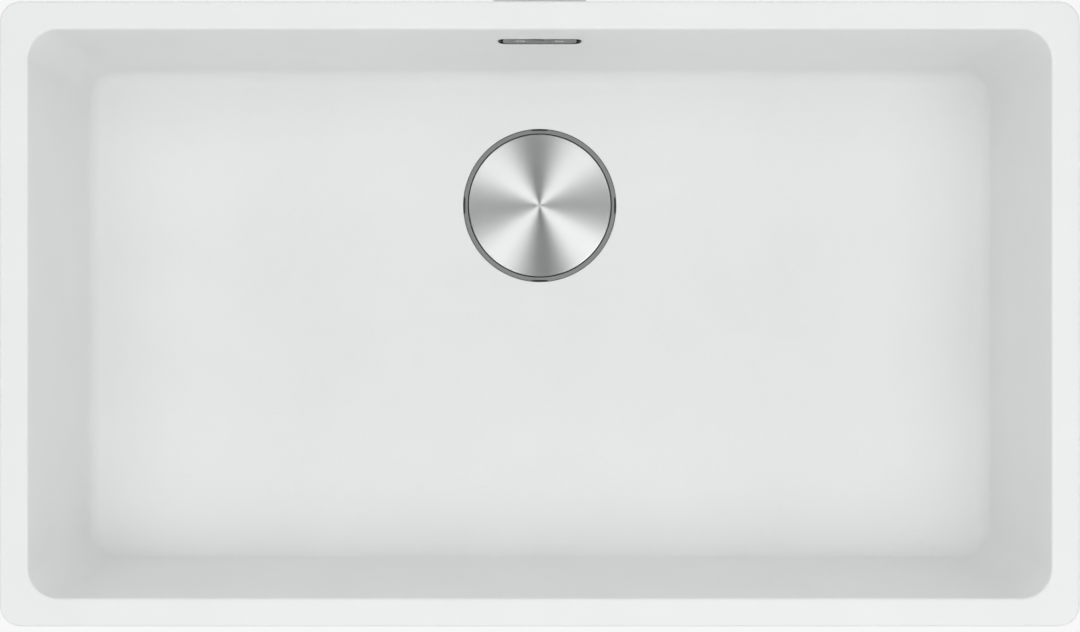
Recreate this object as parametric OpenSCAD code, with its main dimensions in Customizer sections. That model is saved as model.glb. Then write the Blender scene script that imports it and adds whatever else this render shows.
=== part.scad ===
// Undermount kitchen sink in stone composite, with a basket waste and a wall overflow.
// X runs along the sink, Y to its back and Z up. The origin is on the rim's top face, in the
// middle of the bowl's opening. All sizes are in millimetres.
// The waste's levels are depths below the bowl floor, measured where the floor meets the waste.

/* [Bowl] */
// Length of the bowl's opening, left to right
opening_l = 720; // [600:5:800]
// Width of the bowl's opening, front to back
opening_w = 400; // [360:5:460]
// Depth from the rim's top to the floor at the waste
bowl_depth = 200; // [170:5:240]
// Corner radius of the opening
opening_corner_r = 21; // [16:1:36]
// Corner radius of the bowl where its walls meet the bottom
floor_corner_r = 24; // [20:1:40]
// Slope of the walls from the vertical, in degrees
draft = 4; // [2:0.5:5]
// Radius of the edge between the rim and the walls
lip_r = 2; // [1:0.5:4]
// Radius between the walls and the floor
bottom_r = 12; // [8:1:16]
// How far the floor falls from the walls to the waste
floor_fall = 4; // [2:0.5:6]
// Thickness of the walls
wall_t = 8; // [7:0.5:9]
// Thickness of the floor at the waste
floor_t = 8; // [7:0.5:12]
// Radius between the walls and the underside
underside_r = 20; // [14:1:24]

/* [Rim] */
// Width of the rim round the opening
rim_w = 20; // [19:1:40]
// Thickness of the rim
rim_t = 15; // [13:0.5:20]
// Corner radius of the rim's outline
rim_corner_r = 15; // [5:1:30]
// Radius between the rim's underside and the walls
cove_r = 3; // [1:0.5:3]
// Distance from the opening's edge to the threaded inserts
insert_offset = 14; // [13.5:0.5:14.5]
// Spacing of the inserts along the front and the back
insert_spacing = 180; // [120:10:190]
// Spacing of the inserts at the left and right ends
end_insert_spacing = 220; // [120:10:280]
// Outside radius of an insert
insert_r = 3.75; // [3.25:0.25:3.75]
// Radius of an insert's threaded hole
insert_hole_r = 2.5; // [2:0.25:2.5]
// Length of an insert
insert_l = 10; // [8:0.5:11]

/* [Waste flange] */
// Distance from the opening's back edge to the waste's axis
waste_setback = 116; // [113:1:150]
// Outside radius of the steel flange
flange_r = 59; // [59:0.5:62]
// Width of the flange's flat lip
lip_w = 3.4; // [3.2:0.1:3.5]
// Thickness of the flange's sheet
sheet_t = 1; // [0.8:0.1:1.2]
// Depth of the shallow well inside the lip
well_depth = 4; // [3.5:0.25:5]
// Outside radius of the flange's cup
cup_r = 44; // [43:0.5:45]
// Depth of the cup's shelf, where the plug seals
shelf_depth = 36; // [35:0.5:38]
// Outside radius of the sump under the shelf
sump_r = 29; // [26:0.5:30]
// Depth of the sump's bottom
sump_depth = 48; // [47:0.5:49]
// Length of each notch in the lip
notch_l = 12.5; // [8:0.5:16]
// Thickness of the seal under the well
flange_seal_t = 1.5; // [1:0.25:2]
// Radius of the boss under the bowl that carries the waste
boss_r = 66; // [64:1:70]
// Thickness of the boss below the flange's recess
boss_t = 8; // [6:0.5:10]

/* [Waste body] */
// Thickness of the gasket under the bowl
body_gasket_t = 3; // [2:0.25:4]
// Width of the waste body's flange beyond its chamber
body_flange_w = 7.3; // [6:0.1:8.5]
// Thickness of the waste body's flange
body_flange_t = 4; // [3:0.5:5]
// Gap between the flange's cup and the wall of the chamber round it
chamber_gap = 2.2; // [2:0.1:4]
// Wall thickness of the waste body
body_wall = 2.5; // [2:0.25:3]
// How far the chamber goes on below the arms of the nut's carrier
chamber_foot = 1.5; // [1:0.5:3.5]
// Height of the funnel between the chamber and the outlet
funnel_h = 18; // [14:1:26]
// Outside radius of the outlet's thread
outlet_r = 23.9; // [22:0.1:24]
// Radius of the outlet's bore
outlet_bore_r = 20; // [18:0.25:20]
// Length of the outlet's thread
outlet_l = 24; // [18:1:34]
// Depth of the overflow inlet's axis
inlet_depth = 45; // [44:0.5:46]
// Distance from the waste's axis to the inlet's end
inlet_reach = 62; // [61:0.5:63]
// Radius of the hub that holds the nut
hub_r = 10; // [9:0.5:11]
// Radius of the screw's thread
screw_r = 4; // [3.5:0.25:4]
// Length of the brass nut in the hub
body_nut_l = 14; // [10:1:14]

/* [Basket] */
// Thickness of the basket's sheet
basket_t = 0.8; // [0.6:0.1:1]
// Outside radius of the basket's rim
basket_rim_r = 46; // [45:0.5:48]
// Outside radius of the basket just under its rim
basket_top_r = 42.2; // [40:0.2:42.4]
// Outside radius of the basket at its bottom
basket_foot_r = 38.8; // [37:0.2:40]
// Depth of the basket's underside
basket_depth = 31.7; // [31:0.1:31.9]
// Number of slots round the basket's side
side_slots = 28; // [16:4:32]
// Width of a slot
slot_w = 3; // [2:0.25:3.5]
// Radius of the holes in the basket's bottom
drain_hole_r = 1.75; // [1:0.25:2]
// Radius of the stem
stem_r = 3; // [2.5:0.25:3]
// Radius of the knob
knob_r = 12; // [10:0.5:13]
// Radius of the rubber plug
plug_r = 31; // [30.5:0.5:33]
// Thickness of the rubber plug
plug_t = 3; // [2.5:0.1:3.3]

/* [Cover] */
// Gap between the cover's edge and the inner edge of the flange's lip
cover_gap = 0.6; // [0.5:0.1:1.5]
// Thickness of the cover's sheet
cover_t = 1; // [0.8:0.1:1.2]
// Height of the cover's edge
cover_edge_h = 2.8; // [2.4:0.1:3]
// How far the cover stands above the flange
cover_proud = 0.3; // [0.1:0.1:0.5]
// Outside radius of the cover's hub
cover_hub_r = 16; // [15:0.5:18]
// Height of the cover's hub
cover_hub_h = 5.3; // [4:0.1:5.5]

/* [Overflow] */
// Depth of the overflow slot's middle below the rim
overflow_depth = 54; // [50:1:70]
// Length of the slot in the wall's face
slot_l = 60; // [56:1:70]
// Height of the slot in the wall's face
slot_h = 25; // [24:0.5:27]
// Corner radius of the slot
slot_r = 7.5; // [5:0.5:8]
// Depth of the step that the plate rests on
step_depth = 2; // [1.75:0.25:2.5]
// Height of the opening through the wall, behind the step
throat_h = 17; // [14:0.5:18]
// Wall thickness of the rubber liner in the slot
liner_t = 0.9; // [0.8:0.1:1]
// Length of the steel plate
plate_l = 53; // [50:0.5:54]
// Height of the steel plate
plate_h = 21; // [20:0.5:21.5]
// Thickness of the steel plate
plate_t = 1.5; // [1:0.25:1.5]
// Distance from the plate's middle to each screw
plate_screw_x = 14; // [13:0.5:15]
// Radius of the plate's screws
plate_screw_r = 2; // [1.5:0.25:2]
// Thickness of the gasket behind the wall
overflow_gasket_t = 2; // [1.5:0.25:3]
// Width of the housing's flange beyond its box
housing_flange_w = 6.5; // [5:0.5:8]
// Wall thickness of the housing
housing_wall = 2.5; // [2:0.25:3]
// Height of the housing's inside
housing_h = 22; // [20:0.5:24]
// Length of the housing's spigot below its box
spigot_l = 20; // [18:0.5:26]

/* [Hose] */
// Outside radius of the spigots that the hose joins
spigot_r = 11; // [10.5:0.25:11.5]
// Radius of the spigots' bore
spigot_bore_r = 8.5; // [7.5:0.25:8.5]
// Outside radius of the union nuts
union_r = 14.5; // [14:0.5:15.5]
// Thickness of the union washers
union_washer_t = 1.5; // [1:0.25:2]
// Radius of the hose's bend along its middle
bend_r = 43; // [40:1:43]
// Outside radius of the hose's plain ends
hose_r = 9.7; // [9.3:0.1:9.8]
// Inside radius of the hose
hose_bore_r = 7.6; // [7:0.1:7.8]
// Outside radius of the hose's ribs
rib_r = 10.3; // [10:0.1:11]
// Radius of the hose between its ribs
groove_r = 8.8; // [8.7:0.1:9.2]
// Distance from rib to rib
rib_pitch = 3.2; // [3:0.1:5]
// Length of the plain ends
hose_end_l = 20; // [16:1:24]

/* [Hidden] */
$fn = 96;

// Extra length that lets a cut pass a face
cut = 1;
// Gap between pieces that slide or turn in each other
running_gap = 0.3;
// Gap round pieces that are pressed or screwed in
fit_gap = 0.05;
// Steps of the rounded edges in a turned outline
arc_steps = 5;

// Steps of a bowl corner, of a bowl side, and of the rounded edges
corner_steps = 8;
side_steps = 10;
mid_corner = corner_steps / 2;
lip_steps = 3;
fillet_steps = 6;

// The flat ring of floor round the flange's recess
plateau_r = flange_r + 7;
recess_gap = 0.6;
recess_r = flange_r + recess_gap;
recess_depth = well_depth + sheet_t + flange_seal_t;
boss_depth = recess_depth + boss_t;
waste_hole_gap = 1.5;
waste_hole_r = cup_r + waste_hole_gap;
waste_y = opening_w / 2 - waste_setback;
wall_x = wall_t / cos(draft);

// The flange's outline: the lip's inner edge, the well's foot and the bend into the cup
well_slope = 0.3;
well_top_r = flange_r - lip_w;
well_foot_r = well_top_r - well_slope;
cover_r = well_top_r - cover_gap;
cup_bend_r = 1.5;
notch_depth = 1.2;
lug_w = 1.4;
lug_gap = 0.2;
sump_floor = sump_depth + sheet_t;
sump_web_w = 6;
sump_hub_r = 11;
sump_edge = 3;
screw_hole_r = screw_r + 0.3;

// The waste body's levels, and the welded seam between it and its outlet
chamber_r = cup_r + chamber_gap;
body_flange_r = chamber_r + body_wall + body_flange_w;
seam_r = chamber_r + body_wall + 1.8;
seam_h = 2;
body_top = boss_depth + body_gasket_t;
body_flange_foot = body_top + body_flange_t;
hub_top = sump_floor + 0.5;
arm_h = 7;
chamber_depth = hub_top + arm_h + chamber_foot;
outlet_top = chamber_depth + funnel_h;
outlet_foot = outlet_top + outlet_l;
nut_top = hub_top + 2;
nut_foot = nut_top + body_nut_l;
body_nut_r = hub_r - 3.5;
hub_foot = nut_foot + 3;
arm_t = 3;
arm_count = 3;
catch_t = 2;
catch_reach = 2.5;

// The hollow head of the centre screw, on the sump's bottom
screw_head_h = 7;
screw_head_top = sump_depth - screw_head_h;
screw_head_af = 14;
thread_core_r = screw_r - 0.65;
grip_h = 3;
grip_r = stem_r + 2.4;
stem_guide_gap = 0.2;
stem_guide_r = stem_r + stem_guide_gap;

// The basket's levels
rim_seat_gap = 0.2;
basket_rim_top = well_depth - rim_seat_gap - basket_t;
basket_floor = basket_depth - basket_t;
rim_bend_r = 2;
foot_bend_r = 4;
side_slot_top = 11;
side_slot_h = 11;
drain_rings = [[12, 8], [20, 14], [28, 20]];
stem_collar_t = 1.4;
stem_collar_r = stem_r + 3;
stem_foot = sump_depth - 1;
stem_groove_h = 1;
stem_groove_depth = 0.4;
knob_top = cover_t - cover_proud + cover_t + running_gap;
knob_h = 10;
knob_waist_r = knob_r - 3;
knob_socket_h = 7;
plug_washer_t = 1;
plug_washer_r = 24;
plug_top = basket_depth + plug_washer_t;
plug_foot = plug_top + plug_t;
plug_bevel = 0.8;
nut_flange_r = 9;
nut_flange_t = 1;
nut_h = 4.2;
nut_af = 10;

// The overflow, from the wall's inner face outwards
overflow_y = opening_w / 2 - wall_inset(overflow_depth);
plate_front = step_depth - plate_t;
liner_gap = 0.2;
liner_front = 0.4;
screw_head_r = plate_screw_r * 1.8;
screw_cone_h = 1.4;
plate_screw_l = 18;
housing_front = wall_t + overflow_gasket_t;
housing_flange_t = 3;
union_gap = 1.5;
hose_offset = wall_t + union_r + union_gap;
housing_back = hose_offset + spigot_bore_r + 0.5;
housing_l = slot_l + 2;
housing_r = 8;
post_r = plate_screw_r + 2;
spigot_drop = housing_h / 2 + housing_wall + spigot_l;

// The union nuts: a lip draws the hose's collar against a washer on the spigot
collar_t = 2.5;
collar_r = spigot_r - 0.1;
union_bore_r = spigot_r + 0.15;
union_hold = 8;
union_lip_t = 2.5;
union_lip_r = rib_r + 0.1;
union_grips = 12;
union_grip_r = 1.1;

// The hose hangs down parallel to the back wall, bends and runs level into the waste body
hose_sides = 8;
inlet_y = waste_y + inlet_reach;
inlet_z = -(bowl_depth + inlet_depth);
bend_z = inlet_z + bend_r;
hose_top_y = overflow_y + hose_offset * cos(draft);
hose_top_z = -overflow_depth - hose_offset * sin(draft);
bend_y = hose_top_y - (bend_r + (hose_top_z - bend_z) * sin(draft)) / cos(draft);
down_l = (hose_top_y - bend_y) * sin(draft) + (hose_top_z - bend_z) * cos(draft)
    - spigot_drop - union_washer_t;
bend_l = bend_r * (90 - draft) * PI / 180;
level_l = bend_y - inlet_y - union_washer_t;
hose_l = down_l + bend_l + level_l;
rib_count = floor((hose_l - 2 * hose_end_l) / rib_pitch);
bend_steps = 10;

// How far the wall has drawn in at a depth below the rim
function wall_inset(depth) = tan(draft) * max(0, depth - lip_r);

// Corner radius of the bowl's walls at a depth
function plan_r(depth) = opening_corner_r
    + (floor_corner_r - opening_corner_r) * min(1, max(0, depth) / bowl_depth);

// The points between two places, without the places themselves
function between(a, b, steps) = [for (i = [1 : steps - 1]) a + (b - a) * i / steps];

// A round stretch of an outline
function arc(centre, r, from, to, steps = arc_steps) =
    [for (i = [0 : steps]) let (a = from + (to - from) * i / steps) centre + r * [cos(a), sin(a)]];

// One level outline of the bowl: a rounded rectangle, drawn in from the opening
function bowl_ring(depth, inset) =
    let (
        half = [opening_l / 2 - inset, opening_w / 2 - inset],
        r = plan_r(depth) + wall_inset(depth) - inset,
        signs = [[1, 1], [-1, 1], [-1, -1], [1, -1]],
        centres = [for (s = signs) [s.x * (half.x - r), s.y * (half.y - r)]]
    )
    [for (q = [0 : 3])
        let (
            bend = arc(centres[q], r, 90 * q, 90 * q + 90, corner_steps),
            next = centres[(q + 1) % 4] + r * [cos(90 * q + 90), sin(90 * q + 90)]
        )
        each [for (p = concat(bend, between(bend[corner_steps], next, side_steps)))
            [p.x, p.y, -depth]]];

// The outlines of the rounded edge between a wall and what it stands on
function fillet_rings(bottom, r, offset) =
    let (
        centre = bottom - r,
        inset = wall_inset(centre + r * sin(draft)) - offset + r * cos(draft)
    )
    [for (i = [0 : fillet_steps])
        let (a = draft + (90 - draft) * i / fillet_steps)
        bowl_ring(centre + r * sin(a), inset - r * cos(a))];

// The ring where the sloping floor meets the flat round the waste, seen from the waste's axis
function waste_ring(outline) = [for (p = outline)
    let (a = atan2(p.y - waste_y, p.x))
    [plateau_r * cos(a), waste_y + plateau_r * sin(a), -bowl_depth]];

// The faces between rings of points, as triangles
function ring_sides(rings, n, first = 0) = [for (k = [0 : rings - 2], i = [0 : n - 1])
    let (a = first + k * n + i, b = first + k * n + (i + 1) % n)
    each [[a, b, b + n], [a, b + n, a + n]]];

// A solid through rings of points, closed at both ends
module loft(rings) {
    n = len(rings[0]);
    last = (len(rings) - 1) * n;
    polyhedron(
        points = [for (ring = rings) each ring],
        faces = concat(
            [[for (i = [n : -1 : 1]) (i + mid_corner) % n]],
            ring_sides(len(rings), n),
            [[for (i = [0 : n - 1]) last + (i + mid_corner) % n]]
        )
    );
}

// A rectangle with round corners
module rounded(size, r) {
    square([size.x - 2 * r, size.y], center = true);
    square([size.x, size.y - 2 * r], center = true);
    for (x = [-1, 1], y = [-1, 1])
        translate([x * (size.x / 2 - r), y * (size.y / 2 - r)])
            circle(r);
}

// A ring turned from two radii and two depths
module turned_ring(inner, outer, top, foot) {
    rotate_extrude()
        polygon([[inner, -top], [outer, -top], [outer, -foot], [inner, -foot]]);
}

// Places its children on the waste's axis, level with the floor
module at_waste() {
    translate([0, waste_y, -bowl_depth])
        children();
}

// Places its children on the back wall's face: Y points out through the wall
module at_overflow() {
    translate([0, overflow_y, -overflow_depth])
        rotate([-draft, 0, 0])
            children();
}

// A rounded block on the back wall between two distances from its face
module wall_block(size, r, from, to) {
    translate([0, from, 0])
        rotate([-90, 0, 0])
            linear_extrude(to - from)
                rounded(size, r);
}

// Places its children at the end of the housing's spigot, with Z along the hose
module at_housing_spigot() {
    at_overflow()
        translate([0, hose_offset, -spigot_drop])
            rotate([180, 0, 0])
                children();
}

// Places its children at the end of the waste body's inlet, with Z along the hose
module at_inlet() {
    translate([0, inlet_y, inlet_z])
        rotate([-90, 0, 0])
            children();
}

// Places its children at each threaded insert in the rim's underside
module at_inserts() {
    for (side = [-1, 1], k = [-1.5 : 1 : 1.5])
        translate([k * insert_spacing, side * (opening_w / 2 + insert_offset), -rim_t])
            children();
    for (side = [-1, 1], k = [-0.5, 0.5])
        translate([side * (opening_l / 2 + insert_offset), k * end_insert_spacing, -rim_t])
            children();
}

// Places its children at the plate's two screws, with Z out through the wall
module at_plate_screws(from) {
    at_overflow()
        for (side = [-1, 1])
            translate([side * plate_screw_x, from, 0])
                rotate([-90, 0, 0])
                    children();
}

module bowl_shell() {
    translate([0, 0, -rim_t])
        linear_extrude(rim_t)
            rounded([opening_l + 2 * rim_w, opening_w + 2 * rim_w], rim_corner_r);
    loft(concat(
        [bowl_ring(rim_t / 2, -wall_x - cove_r)],
        [for (i = [0 : lip_steps])
            let (a = 90 * i / lip_steps, depth = rim_t + cove_r * (1 - cos(a)))
            bowl_ring(depth, wall_inset(depth) - wall_x - cove_r * (1 - sin(a)))],
        fillet_rings(bowl_depth + floor_t, underside_r, wall_x)
    ));
    at_waste()
        translate([0, 0, -boss_depth])
            cylinder(r = boss_r, h = boss_depth - floor_t / 2);
}

module bowl_cavity() {
    walls = fillet_rings(bowl_depth - floor_fall, bottom_r, 0);
    loft(concat(
        [bowl_ring(-cut, -lip_r)],
        [for (i = [0 : lip_steps])
            let (a = 90 * i / lip_steps)
            bowl_ring(lip_r * (1 - cos(a)), -lip_r * (1 - sin(a)))],
        walls,
        [waste_ring(walls[fillet_steps])]
    ));
}

module sink_bowl() {
    color([0.93, 0.94, 0.94])
        difference() {
            bowl_shell();
            bowl_cavity();
            at_waste() {
                translate([0, 0, -recess_depth])
                    cylinder(r = recess_r, h = recess_depth + cut);
                translate([0, 0, -boss_depth - cut])
                    cylinder(r = waste_hole_r, h = boss_depth + cut);
            }
            at_overflow() {
                wall_block([slot_l, slot_h], slot_r, -wall_t / 2, step_depth);
                wall_block([slot_l, throat_h], slot_r, 0, wall_t + cut);
            }
            at_inserts()
                translate([0, 0, -cut])
                    cylinder(r = insert_r + fit_gap, h = insert_l + cut + fit_gap);
        }
}

module rim_inserts() {
    color([0.78, 0.62, 0.3])
        at_inserts()
            difference() {
                cylinder(r = insert_r, h = insert_l);
                translate([0, 0, -cut])
                    cylinder(r = insert_hole_r, h = insert_l);
            }
}

module strainer_flange() {
    color([0.72, 0.72, 0.73])
        at_waste()
            difference() {
                rotate_extrude()
                    polygon(concat(
                        [[flange_r, 0], [well_top_r, 0], [well_foot_r, -well_depth]],
                        arc([cup_r - sheet_t + cup_bend_r, -well_depth - cup_bend_r],
                            cup_bend_r, 90, 180),
                        [
                            [cup_r - sheet_t, -shelf_depth],
                            [sump_r - sheet_t, -shelf_depth],
                            [sump_r - sheet_t, -sump_depth],
                            [screw_hole_r, -sump_depth],
                            [screw_hole_r, -sump_floor],
                            [sump_r, -sump_floor],
                            [sump_r, -shelf_depth - sheet_t],
                            [cup_r, -shelf_depth - sheet_t]
                        ],
                        arc([cup_r - sheet_t + cup_bend_r, -well_depth - cup_bend_r],
                            cup_bend_r - sheet_t, 180, 90),
                        [
                            [well_foot_r + sheet_t, -well_depth - sheet_t],
                            [well_top_r + sheet_t, -sheet_t],
                            [flange_r, -sheet_t]
                        ]
                    ));
                translate([0, 0, -sump_floor - cut])
                    linear_extrude(sheet_t + 2 * cut)
                        difference() {
                            circle(sump_r - sump_edge);
                            circle(sump_hub_r);
                            square([2 * sump_r, sump_web_w], center = true);
                            square([sump_web_w, 2 * sump_r], center = true);
                        }
                lip_notches(notch_l, 0, cut, notch_depth);
            }
}

// Four blocks through the lip, at the front, the back and both sides
module lip_notches(length, inset, above, below) {
    for (a = [0 : 90 : 270])
        rotate(a)
            translate([flange_r - lug_w + inset, -length / 2, -below])
                cube([lug_w + cut, length, above + below]);
}

module flange_seal() {
    color([0.1, 0.1, 0.1])
        at_waste() {
            rotate_extrude()
                polygon([
                    [waste_hole_r, -well_depth - sheet_t],
                    [well_foot_r + sheet_t, -well_depth - sheet_t],
                    [well_top_r + sheet_t, -sheet_t],
                    [flange_r + recess_gap / 2, -sheet_t],
                    [flange_r + recess_gap / 2, -recess_depth],
                    [waste_hole_r, -recess_depth]
                ]);
            intersection() {
                turned_ring(well_top_r + sheet_t, flange_r, sheet_t / 4, sheet_t + cut);
                lip_notches(notch_l - 2 * lug_gap, lug_gap, 0, sheet_t + cut / 2);
            }
        }
}

module body_gasket() {
    color([0.12, 0.12, 0.12])
        at_waste()
            turned_ring(waste_hole_r + cut, body_flange_r, boss_depth, body_top);
}

module waste_body() {
    color([0.2, 0.21, 0.22])
        at_waste() {
            difference() {
                union() {
                    rotate_extrude()
                        polygon([
                            [0, -body_top],
                            [body_flange_r, -body_top],
                            [body_flange_r, -body_flange_foot],
                            [chamber_r + body_wall, -body_flange_foot],
                            [chamber_r + body_wall, -chamber_depth + seam_h],
                            [seam_r, -chamber_depth + seam_h],
                            [seam_r, -chamber_depth],
                            [0, -chamber_depth]
                        ]);
                    translate([0, 0, -inlet_depth])
                        rotate([-90, 0, 0])
                            cylinder(r = spigot_r, h = inlet_reach);
                }
                turned_ring(0, chamber_r, body_top - cut, chamber_depth + cut);
                translate([0, 0, -inlet_depth])
                    rotate([-90, 0, 0])
                        cylinder(r = spigot_bore_r, h = inlet_reach + cut);
            }
            difference() {
                arm_blocks(chamber_r - catch_reach, chamber_r + body_wall / 2, arm_t + 2 * catch_t,
                    hub_top - catch_t, hub_top + arm_h);
                arm_blocks(0, chamber_r, arm_t + 2 * fit_gap, hub_top - fit_gap, hub_top + arm_h + cut);
            }
        }
}

// A block along each arm of the nut's carrier, between two radii and two depths
module arm_blocks(from, to, width, top, foot) {
    for (k = [0 : arm_count - 1])
        rotate(-90 + k * 360 / arm_count)
            translate([from, -width / 2, -foot])
                cube([to - from, width, foot - top]);
}

module nut_carrier() {
    color([0.2, 0.21, 0.22])
        at_waste()
            difference() {
                union() {
                    turned_ring(0, hub_r, hub_top, hub_foot);
                    arm_blocks(0, chamber_r - fit_gap, arm_t, hub_top, hub_top + arm_h);
                }
                turned_ring(0, body_nut_r + fit_gap, nut_top, nut_foot + fit_gap);
                turned_ring(0, screw_hole_r, hub_top - cut, nut_top + cut);
            }
}

module waste_outlet() {
    color([0.2, 0.21, 0.22])
        at_waste()
            rotate_extrude()
                polygon([
                    [chamber_r, -chamber_depth],
                    [seam_r, -chamber_depth],
                    [seam_r, -chamber_depth - seam_h],
                    [chamber_r + body_wall, -chamber_depth - seam_h],
                    [outlet_r, -outlet_top],
                    [outlet_r, -outlet_foot],
                    [outlet_bore_r, -outlet_foot],
                    [outlet_bore_r, -outlet_top]
                ]);
}

module body_nut() {
    color([0.78, 0.62, 0.3])
        at_waste()
            turned_ring(thread_core_r + fit_gap, body_nut_r, nut_top, nut_foot);
}

module centre_screw() {
    color([0.72, 0.72, 0.73])
        at_waste()
            difference() {
                union() {
                    translate([0, 0, -sump_depth])
                        cylinder(d = screw_head_af / cos(30), h = screw_head_h, $fn = 6);
                    turned_ring(0, screw_r, sump_depth - cut, nut_top);
                    turned_ring(0, thread_core_r, nut_top - cut, nut_foot);
                }
                turned_ring(0, stem_guide_r, screw_head_top - cut, stem_foot + cut);
                turned_ring(0, grip_r + fit_gap, screw_head_top - cut, screw_head_top + grip_h);
            }
}

module stem_grip() {
    color([0.85, 0.85, 0.83])
        at_waste()
            turned_ring(stem_r + stem_guide_gap / 2, grip_r, screw_head_top, screw_head_top + grip_h);
}

// The basket's sheet as one turned outline: rim, tapered side and bottom
module basket_sheet() {
    rim_turn = [basket_top_r + rim_bend_r, -basket_rim_top - basket_t - rim_bend_r];
    foot_turn = [basket_foot_r - foot_bend_r, -basket_depth + foot_bend_r];
    rotate_extrude()
        polygon(concat(
            [[basket_rim_r, -basket_rim_top - basket_t], [basket_rim_r, -basket_rim_top]],
            arc(rim_turn, rim_bend_r + basket_t, 90, 180),
            arc(foot_turn, foot_bend_r - basket_t, 0, -90),
            [[stem_r + fit_gap, -basket_floor], [stem_r + fit_gap, -basket_depth]],
            arc(foot_turn, foot_bend_r, -90, 0),
            arc(rim_turn, rim_bend_r, 180, 90)
        ));
}

// A slot with round ends that points outwards, from inside the basket's side
module side_slot() {
    start = basket_foot_r - foot_bend_r;
    translate([start, 0, 0])
        rotate([0, 90, 0])
            linear_extrude(basket_rim_r - start) {
                square([side_slot_h, slot_w], center = true);
                for (end = [-1, 1])
                    translate([end * side_slot_h / 2, 0])
                        circle(d = slot_w);
            }
}

module strainer_basket() {
    color([0.74, 0.74, 0.75])
        at_waste()
            difference() {
                basket_sheet();
                for (k = [0 : side_slots - 1])
                    rotate((k + 0.5) * 360 / side_slots)
                        translate([0, 0, -side_slot_top - side_slot_h / 2])
                            side_slot();
                for (ring = drain_rings, k = [0 : ring[1] - 1])
                    rotate(k * 360 / ring[1])
                        translate([ring[0], 0, -basket_depth - cut])
                            cylinder(r = drain_hole_r, h = basket_t + 2 * cut, $fn = 24);
            }
}

module basket_stem() {
    color([0.72, 0.72, 0.73])
        at_waste()
            rotate_extrude()
                polygon([
                    [0, -knob_top - knob_h + knob_socket_h],
                    [stem_r, -knob_top - knob_h + knob_socket_h],
                    [stem_r, -basket_floor + stem_collar_t],
                    [stem_collar_r, -basket_floor + stem_collar_t],
                    [stem_collar_r, -basket_floor],
                    [stem_r, -basket_floor],
                    [stem_r, -stem_foot + 2 * stem_groove_h],
                    [stem_r - stem_groove_depth, -stem_foot + 1.5 * stem_groove_h],
                    [stem_r, -stem_foot + stem_groove_h],
                    [stem_r - stem_groove_depth, -stem_foot],
                    [0, -stem_foot]
                ]);
}

module basket_knob() {
    edge = 1.5;
    color([0.25, 0.26, 0.27])
        at_waste()
            difference() {
                rotate_extrude()
                    polygon(concat(
                        [[0, -knob_top]],
                        arc([knob_r - edge, -knob_top - edge], edge, 90, -90),
                        arc([knob_r - edge, -knob_top - knob_h / 2], knob_r - edge - knob_waist_r, 90, 270),
                        arc([knob_r - edge, -knob_top - knob_h + edge], edge, 90, -90),
                        [[0, -knob_top - knob_h]]
                    ));
                turned_ring(0, stem_r + fit_gap, knob_top + knob_h - knob_socket_h - fit_gap,
                    knob_top + knob_h + cut);
            }
}

module plug_washer() {
    color([0.7, 0.7, 0.71])
        at_waste()
            turned_ring(stem_r + fit_gap, plug_washer_r, basket_depth, plug_top);
}

module plug_seal() {
    color([0.1, 0.1, 0.1])
        at_waste()
            rotate_extrude()
                polygon([
                    [stem_r + fit_gap, -plug_top],
                    [plug_r - plug_bevel, -plug_top],
                    [plug_r, -plug_top - plug_bevel],
                    [plug_r, -plug_foot],
                    [stem_r + fit_gap, -plug_foot]
                ]);
}

module stem_nut() {
    color([0.7, 0.7, 0.71])
        at_waste()
            difference() {
                union() {
                    turned_ring(0, nut_flange_r, plug_foot, plug_foot + nut_flange_t);
                    translate([0, 0, -plug_foot - nut_h])
                        cylinder(d = nut_af / cos(30), h = nut_h, $fn = 6);
                }
                turned_ring(0, stem_r + fit_gap, plug_foot - cut, plug_foot + nut_h + cut);
            }
}

module cap_disc() {
    edge = cover_t;
    color([0.76, 0.76, 0.77])
        at_waste()
            rotate_extrude()
                polygon(concat(
                    [[0, cover_proud - cover_t], [0, cover_proud]],
                    arc([cover_r - edge, cover_proud - edge], edge, 90, 0),
                    [
                        [cover_r, cover_proud - cover_edge_h],
                        [cover_r - cover_t, cover_proud - cover_edge_h],
                        [cover_r - cover_t, cover_proud - cover_t]
                    ]
                ));
}

module cap_hub() {
    top = cover_t - cover_proud;
    color([0.3, 0.31, 0.32])
        at_waste()
            rotate_extrude()
                polygon([
                    [0, -top],
                    [cover_hub_r, -top],
                    [cover_hub_r, -top - cover_hub_h],
                    [knob_r + running_gap, -top - cover_hub_h],
                    [knob_r + running_gap, -top - cover_t],
                    [0, -top - cover_t]
                ]);
}

module overflow_plate() {
    color([0.66, 0.67, 0.68])
        difference() {
            at_overflow()
                wall_block([plate_l, plate_h], slot_r - (slot_h - plate_h) / 2, plate_front, step_depth);
            at_plate_screws(plate_front)
                screw_outline(fit_gap, plate_t + cut);
        }
}

// A countersunk screw of a given length, grown by a gap for its hole
module screw_outline(gap, length) {
    cylinder(r1 = screw_head_r + gap, r2 = plate_screw_r + gap, h = screw_cone_h);
    cylinder(r = plate_screw_r + gap, h = length);
}

module overflow_screws() {
    color([0.7, 0.7, 0.71])
        at_plate_screws(plate_front)
            screw_outline(0, plate_screw_l);
}

module overflow_liner() {
    edge = liner_gap + liner_t;
    color([0.1, 0.1, 0.1])
        at_overflow()
            difference() {
                union() {
                    wall_block([slot_l - 2 * liner_gap, slot_h - 2 * liner_gap], slot_r - liner_gap,
                        liner_front, step_depth);
                    wall_block([slot_l - 2 * liner_gap, throat_h - 2 * liner_gap], slot_r - liner_gap,
                        step_depth - cut, wall_t);
                }
                wall_block([slot_l - 2 * edge, slot_h - 2 * edge], slot_r - edge,
                    liner_front - cut, step_depth);
                wall_block([slot_l - 2 * edge, throat_h - 2 * edge], slot_r - edge,
                    step_depth - cut, wall_t + cut);
            }
}

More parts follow.
